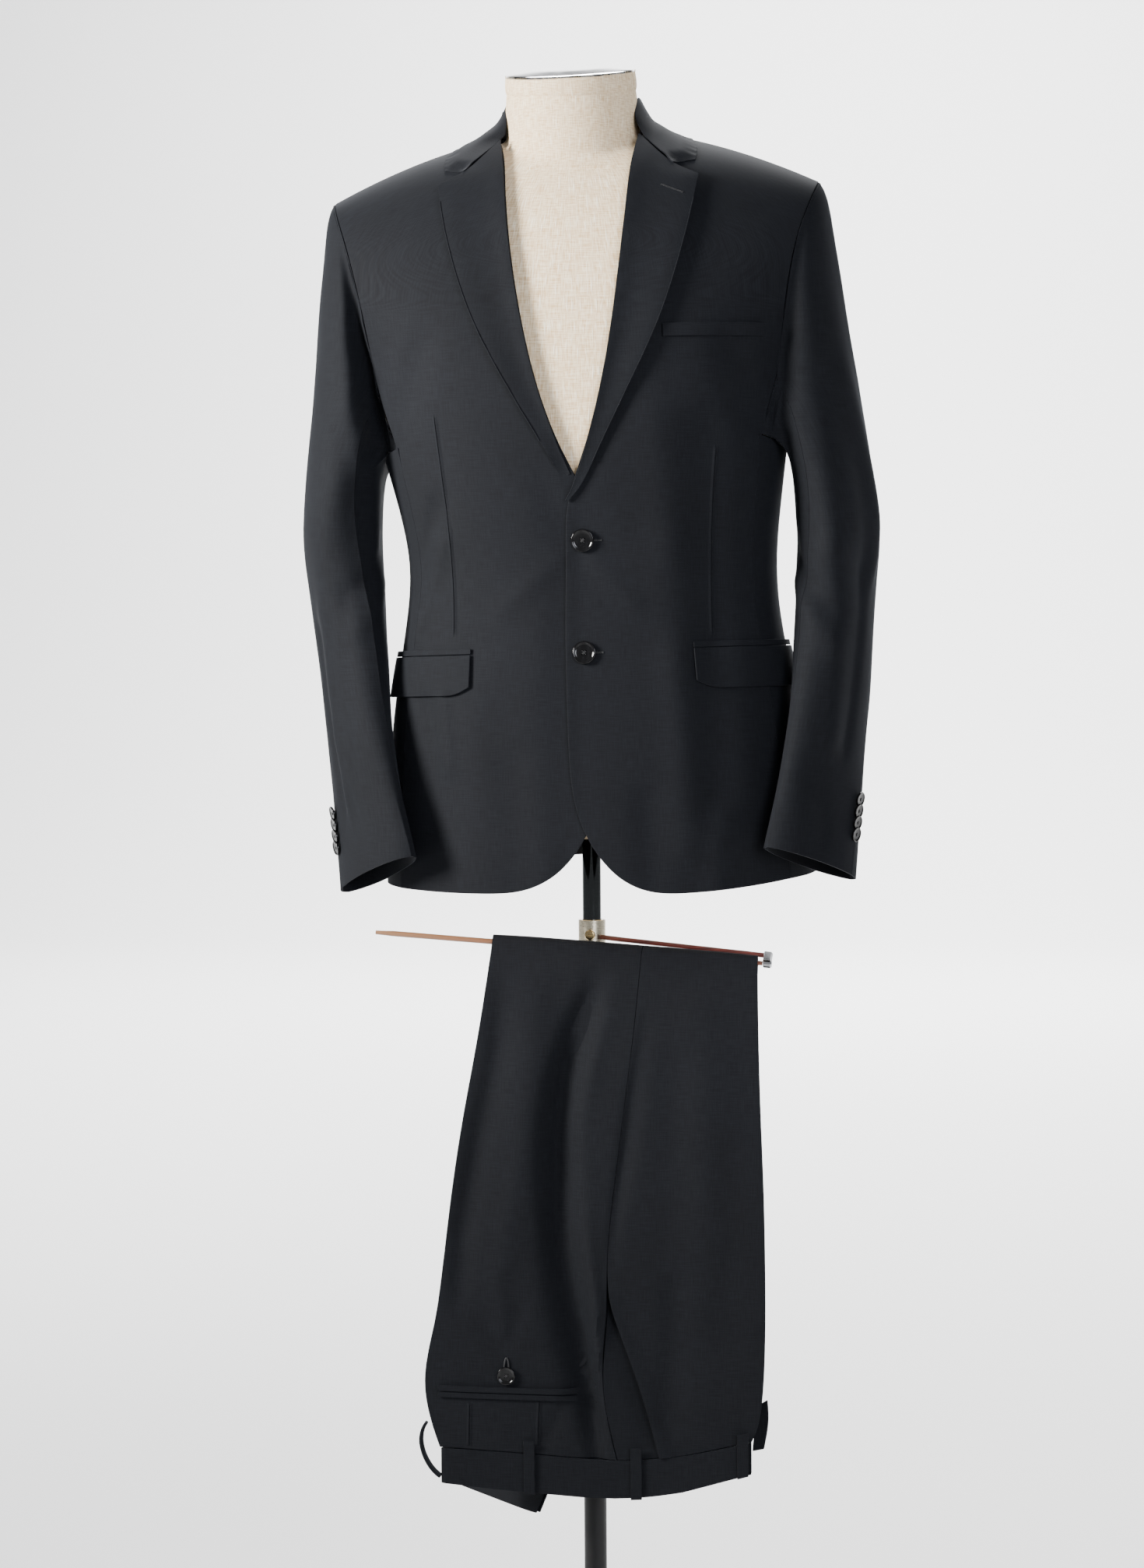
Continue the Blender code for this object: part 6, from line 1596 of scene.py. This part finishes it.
class SUIT_OT_seams(bpy.types.Operator):
    """Dart seams, the neck seam, the lapels' turned edges, buttonholes and the back pocket's button loop"""

    bl_idname = "suit.seams"
    bl_label = "Seams and buttonholes"

    def execute(self, context):
        fronts = surface_tree(*[bpy.data.objects[f"jacket_front_{side}_cloth"] for side in SIDES])
        for name, line in DARTS:
            slot = "jacket_front_left" if "left" in name else "jacket_front_right"
            self.dart(name, fronts, line, "form", slot, suiting())
        seat = surface_tree(bpy.data.objects["trouser_back_panel_cloth"])
        for name, line in SEAT_DARTS:
            self.dart(name, seat, line, "stand", "trouser_back_panel", suiting())
        form = surface_tree(bpy.data.objects["form_linen"])
        self.dart("neck_seam", form, NECK_SEAM, "form", "form_torso", linen(), 0.5)
        for side in SIDES:
            self.turned_edge(side)
        lapel = surface_tree(bpy.data.objects["jacket_lapel_left_cloth"])
        thickness = context.scene.suit_sizes.thread
        self.buttonhole("lapel_buttonhole", lapel, LAPEL_BUTTONHOLE, "jacket_lapel_left", thickness)
        self.button_loop(seat)
        for number in (1, 2):
            middle = box_middle(f"front_button_{number}")
            inner, outer, rise = 0.004, 0.0178, 0.0002
            line = ((middle.x + inner, middle.z), (middle.x + outer, middle.z + rise))
            self.buttonhole(f"front_buttonhole_{number}", fronts, line, "jacket_front_left", thickness)
        return {"FINISHED"}

    def turned_edge(self, side):
        """The lapel's edge rolled over its canvas: a bead of cloth 1.1 mm thick along its outer side.

        Its line is the outermost point at each height, averaged over nine heights.
        """
        points = vertex_points(bpy.data.objects[f"jacket_lapel_{side}_cloth"])
        above_foot, notch, sunk, radius = 0.030, 1.474, 0.0003, 0.00055
        levels = np.linspace(points[:, 2].min() + above_foot, notch, 90)
        reach = np.abs(points[:, 0])[:, None]
        outer = np.where(np.abs(points[:, 2][:, None] - levels) < 0.005, reach, 0).argmax(axis=0)
        padded = np.pad(points[outer], ((4, 4), (0, 0)), "edge")
        line = np.stack([np.convolve(padded[:, i], np.ones(9) / 9, "valid") for i in range(3)], axis=-1)
        bead = new_piece(f"lapel_edge_{side}", *tube_along(line - [0, sunk, 0], radius, 8))
        flat = vertex_points(bead)
        set_cloth_map(bead, flat[:, 0], flat[:, 2])
        finish(bead, suiting(), "form", (), f"jacket_lapel_{side}")

    def button_loop(self, tree):
        """A corded loop that holds the back pocket's button: half an ellipse 4.4 mm wide and 11 mm high."""
        middle = box_middle("back_pocket_button")
        half_width, height, above, off, radius = 0.0022, 0.0110, 0.0060, 0.0009, 0.0007
        turn = np.pi * np.linspace(0, 1, 21)
        x = middle.x + half_width * np.cos(turn)
        z = middle.z + above + height * np.sin(turn)
        points, normals = on_surface(tree, x, z)
        loop = new_piece("button_loop", *tube_along(points + off * normals, radius, 8))
        finish(loop, button_thread(), "stand", (), "trouser_back_panel")

    def dart(self, name, tree, line, body, slot, cloth, share=1.0):
        """Two soft lips, 0.75 mm high and 2.8 mm wide, either side of a sunk line 0.8 mm wide."""
        steps = 60
        line = along_line(line, steps)
        points, normals = on_surface(tree, line[:, 0], line[:, 1])
        side = unit(np.cross(normals, np.gradient(points, axis=0)))
        across = np.array([-3.2, -1.6, -0.75, -0.42, 0.42, 0.75, 1.6, 3.2]) * 0.001
        rise = np.array([-0.10, 0.45, 0.75, 0.02, 0.02, 0.70, 0.40, -0.10]) * 0.001 * share
        ends = ease(np.minimum(np.linspace(0, 1, steps), np.linspace(1, 0, steps)), 0, 0.04)[:, None, None]
        up = normals[:, None]
        grid = points[:, None] + side[:, None] * across[None, :, None] + up * (rise[None, :, None] * ends)
        flat = (grid - 0.00012 * (1 - ends) * up).reshape(-1, 3)
        seam = new_piece(name, flat, grid_faces(steps, len(across)))
        set_cloth_map(seam, flat[:, 0], flat[:, 2])
        finish(seam, cloth, body, (), slot)

    def buttonhole(self, name, tree, line, slot, thickness):
        """Close stitches over a cord: a wound bead along each side of the slit, and a bar at each end."""
        steps, stitches = 90, 26
        line = along_line(line, steps)
        points, normals = on_surface(tree, line[:, 0], line[:, 1])
        along = unit(np.gradient(points, axis=0))
        side = np.cross(normals, along)
        strands = []
        turns = 2 * np.pi * np.linspace(0, 1, steps) * stitches
        winding = 0.5 * thickness
        apart, raised, half_bar, bar_radius = 0.00050, 0.00035, 0.0009, 0.00026
        for sign in (-1, 1):
            bead = points + sign * apart * side + raised * normals
            wound = bead + winding * (np.sin(turns)[:, None] * side * sign + np.cos(turns)[:, None] * normals)
            strands.append(tube_along(wound, winding, 6))
        for end in (0, -1):
            t = np.linspace(-1, 1, 9)[:, None]
            bar = points[end] + half_bar * t * side[end] + (0.00055 * (1 - t * t) + 0.0001) * normals[end]
            strands.append(tube_along(bar, bar_radius, 6))
        finish(joined(name, strands), button_thread(), "form", (), slot)


class SUIT_PT_panel(bpy.types.Panel):
    """Lists the suit's makers and their settings"""

    bl_label = "Business suit"
    bl_idname = "SUIT_PT_panel"
    bl_space_type = "VIEW_3D"
    bl_region_type = "UI"
    bl_category = "Suit"

    def draw(self, context):
        for maker in MAKERS:
            self.layout.operator(maker.bl_idname)
        for group in (context.scene.suit_sizes, context.scene.suit_colours):
            for key in group.bl_rna.properties.keys():
                if key not in ("rna_type", "name"):
                    self.layout.prop(group, key)


MAKERS = (
    SUIT_OT_stage, SUIT_OT_body, SUIT_OT_lapels, SUIT_OT_sleeves, SUIT_OT_pockets, SUIT_OT_form,
    SUIT_OT_stand, SUIT_OT_bar, SUIT_OT_trousers, SUIT_OT_waistband, SUIT_OT_buttons, SUIT_OT_seams,
)
CLASSES = (SuitSizes, SuitColours, *MAKERS, SUIT_PT_panel)


def register():
    for kind in CLASSES:
        bpy.utils.register_class(kind)
    bpy.types.Scene.suit_sizes = PointerProperty(type=SuitSizes)
    bpy.types.Scene.suit_colours = PointerProperty(type=SuitColours)


def unregister():
    del bpy.types.Scene.suit_colours
    del bpy.types.Scene.suit_sizes
    for kind in reversed(CLASSES):
        bpy.utils.unregister_class(kind)


def main():
    """Makes every piece in order."""
    register()
    for maker in MAKERS:
        group, name = maker.bl_idname.split(".")
        getattr(getattr(bpy.ops, group), name)()


if __name__ == "__main__":
    main()
